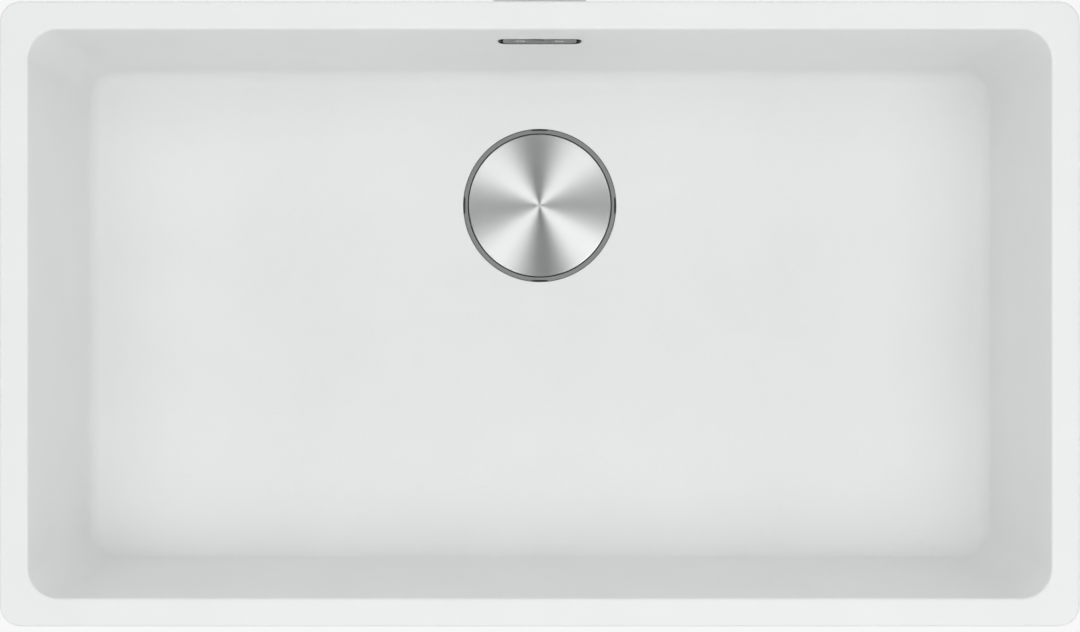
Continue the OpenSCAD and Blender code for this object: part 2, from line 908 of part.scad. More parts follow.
module overflow_gasket() {
    outside = [housing_l + 2 * housing_flange_w, housing_h + 2 * housing_flange_w];
    color([0.12, 0.12, 0.12])
        at_overflow()
            difference() {
                wall_block(outside, housing_r, wall_t, housing_front);
                wall_block([housing_l, housing_h], housing_r, wall_t - cut, housing_front + cut);
            }
}

module overflow_housing() {
    flange = [housing_l + 2 * housing_flange_w, housing_h + 2 * housing_flange_w];
    box = [housing_l + 2 * housing_wall, housing_h + 2 * housing_wall];
    inside = [housing_l, housing_h];
    spigot_top = spigot_l + housing_wall + cut;
    color([0.86, 0.86, 0.85]) {
        at_overflow()
            difference() {
                wall_block(flange, housing_r, housing_front, housing_front + housing_flange_t);
                wall_block(inside, housing_r, housing_front - cut, housing_back);
            }
        difference() {
            union() {
                at_overflow()
                    wall_block(box, housing_r + housing_wall, housing_front + cut,
                        housing_back + housing_wall);
                at_housing_spigot()
                    translate([0, 0, -spigot_top])
                        cylinder(r = spigot_r, h = spigot_top);
            }
            at_overflow()
                wall_block(inside, housing_r, housing_front, housing_back);
            at_housing_spigot()
                translate([0, 0, -spigot_top])
                    cylinder(r = spigot_bore_r, h = spigot_top + cut);
        }
        difference() {
            at_plate_screws(housing_front)
                cylinder(r = post_r, h = housing_back - housing_front + housing_wall / 2);
            at_plate_screws(plate_front)
                cylinder(r = plate_screw_r + fit_gap, h = plate_screw_l + cut);
        }
    }
}

// The washer on a spigot's end
module union_washer() {
    rotate_extrude()
        polygon([
            [hose_bore_r, 0],
            [collar_r, 0],
            [collar_r, union_washer_t],
            [hose_bore_r, union_washer_t]
        ]);
}

// The nut over a spigot's end, with grip ribs round it
module union_nut() {
    lip = union_washer_t + collar_t;
    difference() {
        union() {
            translate([0, 0, -union_hold])
                cylinder(r = union_r, h = union_hold + lip + union_lip_t);
            for (k = [0 : union_grips - 1])
                rotate(k * 360 / union_grips)
                    translate([union_r, 0, -union_hold])
                        cylinder(r = union_grip_r, h = union_hold + lip, $fn = 24);
        }
        translate([0, 0, -union_hold - cut])
            cylinder(r = union_bore_r, h = union_hold + cut + lip);
        cylinder(r = union_lip_r, h = lip + union_lip_t + cut);
    }
}

module hose_washer_top() {
    color([0.1, 0.1, 0.1])
        at_housing_spigot()
            union_washer();
}

module hose_nut_top() {
    color([0.86, 0.86, 0.85])
        at_housing_spigot()
            union_nut();
}

module hose_nut_bottom() {
    color([0.86, 0.86, 0.85])
        at_inlet()
            union_nut();
}

module hose_washer_bottom() {
    color([0.1, 0.1, 0.1])
        at_inlet()
            union_washer();
}

// The hose's direction, as its turn from straight down, and its middle, at a distance along it
function hose_turn(s) = draft + (90 - draft) * min(1, max(0, (s - down_l) / bend_l));
function hose_past(s) = min(0, s - down_l) + max(0, s - down_l - bend_l);
function hose_middle(s) = let (a = hose_turn(s), past = hose_past(s))
    [0, bend_y + bend_r * cos(a) - past * sin(a), bend_z - bend_r * sin(a) - past * cos(a)];
function hose_ring(s, r) = let (out = [0, cos(hose_turn(s)), -sin(hose_turn(s))])
    [for (k = [0 : hose_sides - 1]) let (a = (k + 0.5) * 360 / hose_sides)
        hose_middle(s) + r * [cos(a), 0, 0] + r * sin(a) * out];

module overflow_hose() {
    rib_start = (hose_l - rib_count * rib_pitch) / 2;
    outside = concat(
        [[0, collar_r], [collar_t, collar_r], [collar_t, hose_r], [rib_start, hose_r]],
        [for (k = [0 : rib_count - 1], half = [0, 1])
            [rib_start + (k + 0.25 + half / 2) * rib_pitch, half == 0 ? rib_r : groove_r]],
        [
            [hose_l - rib_start, hose_r],
            [hose_l - collar_t, hose_r],
            [hose_l - collar_t, collar_r],
            [hose_l, collar_r]
        ]
    );
    inside = concat(
        [0],
        [for (i = [0 : bend_steps]) down_l + bend_l * i / bend_steps],
        [hose_l]
    );
    n = hose_sides;
    start = len(outside) * n;
    end = start - n;
    inner_end = start + (len(inside) - 1) * n;
    color([0.55, 0.56, 0.57])
        polyhedron(
            points = concat(
                [for (p = outside) each hose_ring(p[0], p[1])],
                [for (s = inside) each hose_ring(s, hose_bore_r)]
            ),
            faces = concat(
                ring_sides(len(outside), n),
                [for (f = ring_sides(len(inside), n, start)) [f[0], f[2], f[1]]],
                [for (i = [0 : n - 1]) let (j = (i + 1) % n)
                    each [[j, i, start + i], [j, start + i, start + j]]],
                [for (i = [0 : n - 1]) let (j = (i + 1) % n)
                    each [[end + i, end + j, inner_end + j], [end + i, inner_end + j, inner_end + i]]]
            )
        );
}

sink_bowl();
rim_inserts();
flange_seal();
strainer_flange();
body_gasket();
waste_body();
nut_carrier();
waste_outlet();
body_nut();
centre_screw();
stem_grip();
strainer_basket();
basket_stem();
basket_knob();
plug_washer();
plug_seal();
stem_nut();
cap_disc();
cap_hub();
overflow_plate();
overflow_screws();
overflow_liner();
overflow_gasket();
overflow_housing();
hose_washer_top();
hose_nut_top();
overflow_hose();
hose_nut_bottom();
hose_washer_bottom();
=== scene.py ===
import math

import bmesh
import bpy
import numpy as np
from mathutils import Matrix, Vector


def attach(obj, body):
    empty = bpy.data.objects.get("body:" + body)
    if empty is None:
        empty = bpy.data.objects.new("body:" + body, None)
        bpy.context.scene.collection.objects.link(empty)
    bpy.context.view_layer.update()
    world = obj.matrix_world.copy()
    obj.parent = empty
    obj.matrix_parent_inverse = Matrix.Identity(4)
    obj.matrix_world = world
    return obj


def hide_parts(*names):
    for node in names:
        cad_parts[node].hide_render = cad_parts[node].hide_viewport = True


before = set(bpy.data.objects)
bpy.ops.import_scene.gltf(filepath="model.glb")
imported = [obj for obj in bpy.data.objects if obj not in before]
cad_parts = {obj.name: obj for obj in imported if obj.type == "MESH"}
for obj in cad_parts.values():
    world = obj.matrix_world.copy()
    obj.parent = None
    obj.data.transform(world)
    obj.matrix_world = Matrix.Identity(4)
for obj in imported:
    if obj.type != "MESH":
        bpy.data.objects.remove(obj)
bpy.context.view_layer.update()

# The bowl and its rim: one casting of quartz grains in white acrylic resin, made in a closed
# mould. The inside and the rim are as smooth as the mould, and the back is left rough.
# The overflow slot is moulded in the back wall, and the inserts' pockets in the rim.
opening, bowl_depth, draft_angle = (720, 400), 200, 4
draft = math.radians(draft_angle)
opening_corner, floor_corner, foot_corner = 21, 24, 12.7
rim_width, rim_thickness, rim_corner, rim_edge, rim_foot_edge = 20, 15, 15, 1.5, 1.2
lip, bottom_bend, floor_fall = 2, 12, 4
wall, wall_foot, underside_bend, cove = 8 / math.cos(draft), 178, 20, 3
waste_y, plateau, recess, waste_hole, boss = 84, 66, 59.25, 45.5, 66
recess_depth, boss_depth, floor_thickness = 6.5, 14.5, 8
slot_size, slot_bend, slot_step, throat_size = (60, 25), 7.5, 2, (59.6, 17)
slot_depth, mouth_edge, slot_start, slot_end = 54, 1.2, -4, 9.5
insert_bore, insert_length = 3.8, 10.05
insert_aside, insert_spacing, end_spacing = 14, 180, 220
insert_x, insert_y = opening[0] / 2 + insert_aside, opening[1] / 2 + insert_aside
insert_places = [(x * insert_spacing, side * insert_y) for side in (-1, 1) for x in (-1.5, -0.5, 0.5, 1.5)]
insert_places += [(side * insert_x, y * end_spacing) for side in (-1, 1) for y in (-0.5, 0.5)]


def place_at(x, y, z, turn=0):
    """A place in the row frame, in millimetres, turned about X by degrees."""
    return Matrix.Translation((x, y, z)) @ Matrix.Rotation(math.radians(turn), 4, "X")


def linked(name, data):
    """A new object in the scene, from a mesh, a lamp or a camera."""
    made = bpy.data.objects.new(name, data)
    bpy.context.scene.collection.objects.link(made)
    return made


def solid(name, points, faces, place=Matrix()):
    """A closed mesh from points in millimetres, put in its place, with its faces outwards."""
    turn = np.array(place)
    points = (np.asarray(points, float) @ turn[:3, :3].T + turn[:3, 3]) / 1000
    mesh = bpy.data.meshes.new(name)
    mesh.from_pydata(points.tolist(), [], np.asarray(faces).tolist())
    work = bmesh.new()
    work.from_mesh(mesh)
    bmesh.ops.remove_doubles(work, verts=work.verts, dist=1e-6)
    if work.calc_volume(signed=True) < 0:
        bmesh.ops.reverse_faces(work, faces=work.faces)
    work.to_mesh(mesh)
    work.free()
    return linked(name, mesh)


def skinned(name, rings, place=Matrix(), closed=False):
    """A mesh through rings of points. A closed one joins its last ring to its first, and any
    other ends in two flat fans."""
    if not closed:
        first, last = rings[0], rings[-1]
        rings = [first * 0 + first.mean(0), *rings, last * 0 + last.mean(0)]
    count, n = len(rings), len(rings[0])
    k, i = np.meshgrid(np.arange(count if closed else count - 1), np.arange(n), indexing="ij")
    here, there, after = k * n, (k + 1) % count * n, (i + 1) % n
    faces = np.stack([here + i, here + after, there + after, there + i], -1)
    return solid(name, np.concatenate(rings), faces.reshape(-1, 4), place)


def carved(body, *tools, how="DIFFERENCE"):
    """body with the tools cut out of it, or joined to it, as one plain mesh."""
    for tool in tools:
        cut = body.modifiers.new("cut", "BOOLEAN")
        cut.operation, cut.solver, cut.object = how, "EXACT", tool
    bpy.context.view_layer.update()
    seen = body.evaluated_get(bpy.context.evaluated_depsgraph_get())
    body.data = bpy.data.meshes.new_from_object(seen)
    body.modifiers.clear()
    for tool in tools:
        bpy.data.objects.remove(tool)
    return body


def smoothed(piece, angle=32):
    """Smooth shading, with an edge kept sharp where the faces turn more than an angle in degrees."""
    piece.data.shade_smooth()
    piece.data.set_sharp_from_angle(angle=math.radians(angle))
    return piece


def inset_at(depth):
    """How far in from the opening the drafted wall stands at a depth."""
    return math.tan(draft) * max(0, depth - lip)


def plan_bend(depth):
    """The radius of the bowl's corners in plan at a depth."""
    share = min(1, max(0, depth) / bowl_depth)
    return opening_corner + (floor_corner - opening_corner) * share


def marks_on(half, bend, rays, steps):
    """Places along a rounded rectangle, as (quarter, in its bend, share): steps in each bend,
    and on the sides where rays from the waste cross them."""
    found = []
    margin = 0.008
    for quarter in range(4):
        found += [(quarter, True, i / steps) for i in range(steps + 1)]
        across = quarter % 2
        ahead = half[1 - across] * (1 if quarter in (0, 3) else -1)
        reach = half[across] - bend
        sign = -1 if quarter < 2 else 1
        for bearing in np.linspace(0, 2 * math.pi, rays, endpoint=False):
            run = [math.cos(bearing), math.sin(bearing)]
            start = [0, waste_y]
            if run[1 - across] * (ahead - start[1 - across]) <= 1e-6:
                continue
            far = (ahead - start[1 - across]) / run[1 - across]
            share = (1 + sign * (start[across] + far * run[across]) / reach) / 2
            if margin < share < 1 - margin:
                found.append((quarter, False, share))
    return sorted(found, key=lambda m: (m[0], not m[1], m[2]))


foot_top = bowl_depth - floor_fall - bottom_bend * (1 - math.sin(draft))
foot_inset = inset_at(foot_top) + bottom_bend * math.cos(draft)
foot_half = opening[0] / 2 - foot_inset, opening[1] / 2 - foot_inset
marks = marks_on(foot_half, foot_corner, rays=150, steps=14)
quarter, bent, share = (np.array(column) for column in zip(*marks))
sign_x, sign_y = np.array([1, -1, -1, 1]), np.array([1, 1, -1, -1])


def outline(half_x, half_y, bend, z):
    """A level rounded rectangle, on the marks."""
    turn = np.radians(90 * (quarter + np.where(bent, share, 1)))
    out = bend * np.stack([np.cos(turn), np.sin(turn)], 1)
    ends = [
        np.stack([sign_x[q % 4] * (half_x - bend), sign_y[q % 4] * (half_y - bend)], 1)
        for q in (quarter, quarter + 1)
    ]
    along = np.where(bent, 0, share)[:, None]
    flat = ends[0] * (1 - along) + ends[1] * along + out
    return np.column_stack([flat, np.full(len(flat), z)])


def bowl_ring(depth, inset):
    bend = plan_bend(depth) + inset_at(depth) - inset
    return outline(opening[0] / 2 - inset, opening[1] / 2 - inset, bend, -depth)


def rim_ring(inset, depth):
    half = opening[0] / 2 + rim_width - inset, opening[1] / 2 + rim_width - inset
    return outline(*half, rim_corner - inset, -depth)


def bend_rings(bottom, radius, offset, steps):
    """The rounded edge between a wall and what it stands on."""
    centre = bottom - radius
    inset = inset_at(centre + radius * math.sin(draft)) - offset + radius * math.cos(draft)
    turns = np.linspace(draft, math.pi / 2, steps + 1)
    return [bowl_ring(centre + radius * math.sin(a), inset - radius * math.cos(a)) for a in turns]


def softened(corners, radius=0.4, steps=4):
    """An outline with its corners rounded, and a point beside each bend that keeps the flats
    flat. A corner may give its own radius as a third number."""
    straight, most_of_side, half_of_side = 1.55, 0.42, 0.49
    corners = [(*c[:2], c[2] if len(c) > 2 else radius) for c in corners]
    found = []
    for i, (x, y, r) in enumerate(corners):
        here = np.array([x, y], float)
        before = np.array(corners[i - 1][:2], float) - here
        after = np.array(corners[(i + 1) % len(corners)][:2], float) - here
        ends = np.hypot(*before), np.hypot(*after)
        before, after = before / ends[0], after / ends[1]
        half = math.acos(max(-1, min(1, before @ after))) / 2
        if r == 0 or x == 0 or half > straight:
            found.append((x, y))
            continue
        t = min(r / math.tan(half), most_of_side * ends[0], most_of_side * ends[1])
        r = t * math.tan(half)
        aside = t + 0.5 * r
        middle = here + (before + after) / np.hypot(*(before + after)) * r / math.sin(half)
        if aside < half_of_side * ends[0]:
            found.append(tuple(here + aside * before))
        start, end = here + t * before - middle, here + t * after - middle
        turn = math.atan2(start[0] * end[1] - start[1] * end[0], start @ end)
        for a in np.linspace(0, turn, steps + 1):
            spun = math.cos(a) * start + math.sin(a) * np.array([-start[1], start[0]])
            found.append(tuple(middle + spun))
        if aside < half_of_side * ends[1]:
            found.append(tuple(here + aside * after))
    return found


foot = bend_rings(bowl_depth - floor_fall, bottom_bend, 0, 12)
bearings = np.arctan2(foot[-1][:, 1] - waste_y, foot[-1][:, 0])


def waste_ring(radius, depth):
    """A circle about the waste at a depth below the floor."""
    spun = radius * np.stack([np.cos(bearings), np.sin(bearings)], 1) + [0, waste_y]
    return np.column_stack([spun, np.full(len(spun), -bowl_depth - depth)])


def floor_ring(share):
    """Between the walls' foot and the flat round the waste, where the fall eases out."""
    eased = 0.8
    level = 2 * share / (1 + eased) if share < eased else 1 - (1 - share) ** 2 / (1 - eased ** 2)
    ring = foot[-1] + (waste_ring(plateau, 0) - foot[-1]) * share
    ring[:, 2] = -bowl_depth + floor_fall * (1 - level)
    return ring


run_out, beside_bend = 20, 0.8
hole_outline = softened([
    (plateau + run_out, 0, 0), (recess, 0, 0.25), (recess, recess_depth, 0.3),
    (waste_hole, recess_depth, 0.5), (waste_hole, boss_depth, 0.8), (boss, boss_depth, 1.2),
    (boss, floor_thickness, 3), (boss + run_out, floor_thickness, 0),
])[1:-1]
turns = np.linspace(0, math.pi / 2, 7)
inner_rings = [
    rim_ring(rim_edge + beside_bend, 0),
    bowl_ring(0, -lip - beside_bend),
    *[bowl_ring(lip * (1 - math.cos(a)), -lip * (1 - math.sin(a))) for a in turns],
    *[bowl_ring(d, inset_at(d)) for d in (lip + beside_bend, *np.linspace(8, wall_foot, 16))],
    *foot,
    *[floor_ring(s) for s in (0.01, *np.linspace(0.06, 0.94, 13))],
    waste_ring(plateau, 0),
]
middle_rings = [waste_ring(r, d) for r, d in hole_outline]
under_foot = bend_rings(bowl_depth + floor_thickness, underside_bend, wall, 9)
hem = waste_ring(boss + 4.5, floor_thickness)
cove_depths = [(a, rim_thickness + cove * (1 - math.cos(a))) for a in turns]
outer_rings = [
    *[hem + (under_foot[-1] - hem) * s for s in (0, 0.25, 0.5, 0.75, 0.99)],
    *under_foot[::-1],
    *[bowl_ring(d, inset_at(d) - wall) for d in np.linspace(wall_foot, 22, 12)],
    *[bowl_ring(d, inset_at(d) - wall - cove * (1 - math.sin(a))) for a, d in cove_depths[::-1]],
    rim_ring(rim_foot_edge + beside_bend, rim_thickness),
    *[
        rim_ring(rim_foot_edge * (1 - math.sin(a)), rim_thickness - rim_foot_edge * (1 - math.cos(a)))
        for a in turns[::2]
    ],
    rim_ring(0, rim_thickness - rim_foot_edge - beside_bend),
    rim_ring(0, rim_edge + beside_bend),
    *[rim_ring(rim_edge * (1 - math.cos(a)), rim_edge * (1 - math.sin(a))) for a in turns],
]
bowl = skinned("sink_bowl_casting", inner_rings + middle_rings + outer_rings, closed=True)
boss_rings, edge_rings = 12, 11
rough_from = len(inner_rings) + len(middle_rings) - boss_rings
backs = np.zeros(len(bowl.data.polygons), np.int32)
backs[len(marks) * rough_from:-len(marks) * edge_rings] = 1


def rounded(width, height, bend, y, steps=8):
    """A rounded rectangle that stands across the wall at a distance from its face."""
    turn = np.radians(np.concatenate([np.linspace(90 * q, 90 * q + 90, steps + 1) for q in range(4)]))
    corner = np.repeat(np.arange(4), steps + 1)
    x = sign_x[corner] * (width / 2 - bend) + bend * np.cos(turn)
    z = sign_y[corner] * (height / 2 - bend) + bend * np.sin(turn)
    return np.column_stack([x, np.full(len(x), y), z])


overflow_place = place_at(0, opening[1] / 2 - inset_at(slot_depth), -slot_depth, -draft_angle)
slot_tool = skinned("slot_tool", [
    rounded(slot_size[0] + 2 * e, slot_size[1] + 2 * e, slot_bend + e, y)
    for y, e in [(slot_start, mouth_edge)]
    + [(mouth_edge * (1 - math.cos(a)), mouth_edge * (1 - math.sin(a))) for a in turns]
    + [(slot_step, 0)]
] + [rounded(*throat_size, slot_bend, y) for y in (slot_step, slot_end)], overflow_place)


def turned(name, corners, place, steps=128, shape=None):
    """A piece turned from an outline of (radius, height). shape changes a point's radius with its angle."""
    angle = np.linspace(0, 2 * math.pi, steps, endpoint=False)
    rings = []
    for radius, height in corners:
        at = np.full(steps, float(radius))
        if shape and radius > 0:
            at = shape(at, height, angle)
        rings.append(np.stack([at * np.cos(angle), at * np.sin(angle), np.full(steps, height)], 1))
    return skinned(name, rings, place, closed=corners[0][0] > 0)


def joined(name, pieces):
    """Several meshes as one."""
    work = bmesh.new()
    for piece in pieces:
        work.from_mesh(piece.data)
        bpy.data.objects.remove(piece)
    mesh = bpy.data.meshes.new(name)
    work.to_mesh(mesh)
    work.free()
    return linked(name, mesh)


pocket = [(0, -1), (insert_bore, -1), (insert_bore, insert_length), (0, insert_length)]
pockets = joined("pockets", [
    turned("pocket", pocket, place_at(x, y, -rim_thickness), 32) for x, y in insert_places
])


class Wire:
    """A node's socket. Sums and products of wires add Math nodes, and node() adds any other."""

    def __init__(self, tree, socket=None):
        self.tree, self.socket = tree, socket

    def node(self, kind, settings=(), links=(), out=0):
        made = self.tree.nodes.new(kind)
        for key, value in dict(settings).items():
            setattr(made, key, value)
        for key, value in dict(links).items():
            if isinstance(value, Wire):
                self.tree.links.new(value.socket, made.inputs[key])
            else:
                made.inputs[key].default_value = value
        return Wire(self.tree, made.outputs[out])

    def math(self, operation, *values):
        return self.node("ShaderNodeMath", {"operation": operation}, dict(enumerate(values)))

    def vector(self, operation, *values, out=0):
        return self.node("ShaderNodeVectorMath", {"operation": operation}, dict(enumerate(values)), out)

    def blend(self, a, b):
        """Colour a where this wire is 0, and b where it is 1."""
        a, b = ((*c, 1) if isinstance(c, tuple) else c for c in (a, b))
        settings = {"data_type": "RGBA", "clamp_factor": True}
        return self.node("ShaderNodeMix", settings, {0: self, 6: a, 7: b}, 2)

    def ramp(self, low, high, to_low=0.0, to_high=1.0):
        """This wire's range from low to high, spread over another and held at its ends."""
        links = {0: self, 1: low, 2: high, 3: to_low, 4: to_high}
        return self.node("ShaderNodeMapRange", {"clamp": True}, links)

    def __add__(self, other):
        return self.math("ADD", self, other)

    def __radd__(self, other):
        return self.math("ADD", other, self)

    def __sub__(self, other):
        return self.math("SUBTRACT", self, other)

    def __rsub__(self, other):
        return self.math("SUBTRACT", other, self)

    def __mul__(self, other):
        return self.math("MULTIPLY", self, other)

    def __rmul__(self, other):
        return self.math("MULTIPLY", other, self)

    def noise(self, scale, detail=2.0, roughness=0.5, where=None):
        links = {"Scale": scale, "Detail": detail, "Roughness": roughness}
        links["Vector"] = where or self.node("ShaderNodeTexCoord", out=3)
        return self.node("ShaderNodeTexNoise", {}, links)


def new_finish(name):
    finish = bpy.data.materials.new(name)
    finish.use_nodes = True
    return finish, Wire(finish.node_tree)


def apply_finish(finish, bump=None, height=0.0001, **sockets):
    """Fills the finish's shader. bump is a wire whose 0 to 1 stands for a height in metres."""
    shader = finish.node_tree.nodes["Principled BSDF"]
    if bump:
        sockets["Normal"] = bump.node("ShaderNodeBump", {}, {"Height": bump, "Distance": height})
    for key, value in sockets.items():
        socket = shader.inputs[key.replace("_", " ")]
        if isinstance(value, Wire):
            finish.node_tree.links.new(value.socket, socket)
        else:
            socket.default_value = (*value, 1) if isinstance(value, tuple) else value
    return finish


def composite(name, grain_height, roughness):
    """White resin with pale and grey quartz grains in it."""
    resin, pale_resin = (0.845, 0.861, 0.856), (0.861, 0.875, 0.870)
    pale_quartz, grey_quartz = (0.900, 0.912, 0.908), (0.70, 0.72, 0.72)
    finish, w = new_finish(name)
    grains = w.noise(900, 3, 0.6)
    pale = grains.ramp(0.52, 0.7)
    grey = w.noise(1300, 2, 0.5).ramp(0.6, 0.78)
    cloud = w.noise(14, 2, 0.5).ramp(0.35, 0.65)
    colour = cloud.blend(resin, pale_resin)
    colour = (pale * 0.5).blend(colour, pale_quartz)
    colour = (grey * 0.22).blend(colour, grey_quartz)
    gloss = grains.ramp(0.3, 0.7, roughness - 0.05, roughness + 0.05)
    ripple = w.noise(260, 4, 0.6)
    return apply_finish(finish, ripple, grain_height, Base_Color=colour, Roughness=gloss)


composite_face = composite("composite_mould_side", 0.00004, 0.46)
composite_back = composite("composite_as_cast", 0.0004, 0.72)
bowl.data.materials.append(composite_face)
bowl.data.materials.append(composite_back)
bowl.data.polygons.foreach_set("material_index", backs)
smoothed(carved(bowl, slot_tool, pockets))
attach(bowl, "root")
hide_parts("sink_bowl")

# The threaded inserts: twelve turned brass sleeves with an M6 thread, pressed into the rim's
# underside. The worktop clips are screwed into them when the sink is fitted.


def thread(pitch, depth, low, high, at):
    """The radius of a cut thread at a height and an angle, faded out at its two ends."""
    slope, root = 1.6, 0.3

    def shape(radius, height, angle):
        if abs(radius[0] - at) > 0.02 or not low < height < high:
            return radius
        turn = (height / pitch - angle / (2 * math.pi)) % 1
        fade = min(1, (height - low) / pitch, (high - height) / pitch)
        return radius - depth * fade * np.clip(slope * np.abs(2 * turn - 1) - root, 0, 1)
    return shape


def threaded_run(radius, low, high, pitch, steps=9):
    """The points of an outline's straight stretch that carries a thread."""
    heights = np.linspace(low, high, max(2, round(abs(high - low) / pitch * steps)))
    return [(radius, h) for h in heights]


insert_bore_run = threaded_run(2.5, 9, 0.6, 1.0, 6)
insert_shell = [(2.9, 0), (3.2, 0), (3.5, 0), (3.7, 0.2), (3.75, 0.5), (3.75, 9.8), (3.6, 10), (0, 10)]
insert_mesh = turned(
    "insert_pattern", [(0, 9), (1.2, 9), *insert_bore_run, *insert_shell], Matrix(), 32,
    thread(1.0, -0.25, 0.7, 8.9, 2.5),
)


def brass(name):
    finish, w = new_finish(name)
    lathe = w.noise(2200, 2, 0.5)
    dull = w.noise(160, 3, 0.6)
    colour = dull.ramp(0.35, 0.75).blend((0.74, 0.56, 0.27), (0.60, 0.43, 0.19))
    gloss = dull.ramp(0.3, 0.7, 0.26, 0.42)
    return apply_finish(finish, lathe, 0.00002, Base_Color=colour, Metallic=1.0, Roughness=gloss)


brass_finish = brass("turned_brass")


def tree_of(name, inputs):
    """A Geometry Nodes tree with named inputs, as (tree, start wire, inputs by name)."""
    tree = bpy.data.node_groups.new(name, "GeometryNodeTree")
    tree.interface.new_socket("Geometry", in_out="INPUT", socket_type="NodeSocketGeometry")
    for key, value in inputs.items():
        kind = {int: "NodeSocketInt", float: "NodeSocketFloat"}.get(type(value), "NodeSocketObject")
        tree.interface.new_socket(key, in_out="INPUT", socket_type=kind)
    tree.interface.new_socket("Geometry", in_out="OUTPUT", socket_type="NodeSocketGeometry")
    entry = tree.nodes.new("NodeGroupInput")
    return tree, Wire(tree), {s.name: Wire(tree, s) for s in entry.outputs if s.name}


def shape_of(given, name):
    """The mesh of the object that one of a tree's inputs names."""
    return given[name].node("GeometryNodeObjectInfo", {}, {"Object": given[name]}, 4)


def grown(piece, tree, inputs, last, finish):
    """Ends the tree in Realize Instances and Set Material, runs it on the piece, and keeps the
    result as a plain mesh."""
    real = last.node("GeometryNodeRealizeInstances", {}, {0: last})
    dressed = real.node("GeometryNodeSetMaterial", {}, {"Geometry": real, "Material": finish})
    exit_node = tree.nodes.new("NodeGroupOutput")
    tree.links.new(dressed.socket, exit_node.inputs[0])
    grower = piece.modifiers.new("grow", "NODES")
    grower.node_group = tree
    for item in tree.interface.items_tree:
        if item.in_out == "INPUT" and item.name in inputs:
            grower[item.identifier] = inputs[item.name]
    bpy.context.view_layer.update()
    seen = piece.evaluated_get(bpy.context.evaluated_depsgraph_get())
    piece.data = bpy.data.meshes.new_from_object(seen)
    piece.modifiers.clear()
    return piece


insert_inputs = {"Insert": insert_mesh}
tree, w, given = tree_of("inserts_in_rim", insert_inputs)
links = {"Points": given["Geometry"], "Instance": shape_of(given, "Insert")}
spread = w.node("GeometryNodeInstanceOnPoints", {}, links)
spots = bpy.data.meshes.new("rim_inserts_brass")
spots.from_pydata([(x / 1000, y / 1000, -rim_thickness / 1000) for x, y in insert_places], [], [])
inserts = grown(linked("rim_inserts_brass", spots), tree, insert_inputs, spread, brass_finish)
bpy.data.objects.remove(insert_mesh)
smoothed(inserts)
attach(inserts, "root")
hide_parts("rim_inserts")

# The flange's seal: a moulded nitrile ring between the steel lip and the bowl. Its four lugs
# come up through the notches of the lip, and stop the ring from turning in the bowl.
waste_place = place_at(0, waste_y, -bowl_depth)
waste_spot = (0, waste_y / 1000, -bowl_depth / 1000)
sheet, well, well_radius, seal_radius = 1, 4, 55.6, 59.2


def sunk(corners, radius=0.4, steps=4):
    """A softened outline given as (radius, depth below the floor)."""
    return softened([(r, -d, *own) for r, d, *own in corners], radius, steps)


def slab(name, width, height, bend, near, far, edge=0.3, place=Matrix(), steps=8):
    """A rounded plate that stands across Y, with eased edges."""
    eased = [(edge * (1 - math.cos(a)), edge * (1 - math.sin(a))) for a in np.linspace(0, math.pi / 2, 4)]
    stations = [(near + y, i) for y, i in eased] + [(far - y, i) for y, i in eased[::-1]]
    return skinned(name, [
        rounded(width - 2 * i, height - 2 * i, max(bend - i, 0.02), y, steps) for y, i in stations
    ], place)


def spun(angle, x=0, y=0, z=0):
    """A place turned about the waste by degrees and then moved out along its own axes."""
    return waste_place @ Matrix.Rotation(math.radians(angle), 4, "Z") @ Matrix.Translation((x, y, z))


def rubber(name, shade=0.016, roughness=0.52):
    finish, w = new_finish(name)
    bloom = w.noise(120, 4, 0.6)
    skin = w.noise(3000, 2, 0.5)
    colour = bloom.ramp(0.45, 0.8).blend((shade,) * 3, (shade * 2.2,) * 3)
    gloss = bloom.ramp(0.3, 0.7, roughness - 0.08, roughness + 0.1)
    return apply_finish(finish, skin, 0.00002, Base_Color=colour, Roughness=gloss)


def finished(piece, material, angle=32):
    """The piece in one material, shaded smooth."""
    piece.data.materials.clear()
    piece.data.materials.append(material)
    return smoothed(piece, angle)


nitrile = rubber("black_nitrile")
seal = turned("flange_seal_ring", sunk([
    (waste_hole, well + sheet), (well_radius + 0.7, well + sheet), (well_radius + sheet, sheet),
    (seal_radius, sheet), (seal_radius, recess_depth), (waste_hole, recess_depth),
], 0.2, 2), waste_place)
lugs = [slab("lug", 1.2, 1.2, 0.2, -6.05, 6.05, 0.1, spun(90 * k, 58.4, 0, -0.85), 2) for k in range(4)]
carved(seal, *lugs, how="UNION")
finished(seal, nitrile)
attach(seal, "root")
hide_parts("flange_seal")

# The waste flange: one stainless steel pressing, deep-drawn from 1 mm sheet. Its lip lies in the
# bowl's recess, and the centre screw pulls it down through the hole in the sump's floor.
lip_radius, cup_radius, sump_radius, screw_hole = 59, 44, 29, 4.3
shelf, sump = 36, 48
flange_outline = sunk([
    (lip_radius, 0, 0.4), (well_radius, 0, 0.4), (well_radius - 0.3, well, 1),
    (cup_radius - sheet, well, 1.5), (cup_radius - sheet, shelf, 2.2), (sump_radius - sheet, shelf, 1.2),
    (sump_radius - sheet, sump, 2.2), (screw_hole, sump, 0.2), (screw_hole, sump + sheet, 0.2),
    (sump_radius, sump + sheet, 3), (sump_radius, shelf + sheet, 1), (cup_radius, shelf + sheet, 3),
    (cup_radius, well + sheet, 0.5), (well_radius + 0.7, well + sheet, 0.5),
    (well_radius + sheet, sheet, 0.3), (lip_radius, sheet, 0.2),
], 0.3, 5)
flange = turned("waste_flange_pressing", flange_outline, waste_place, 160)


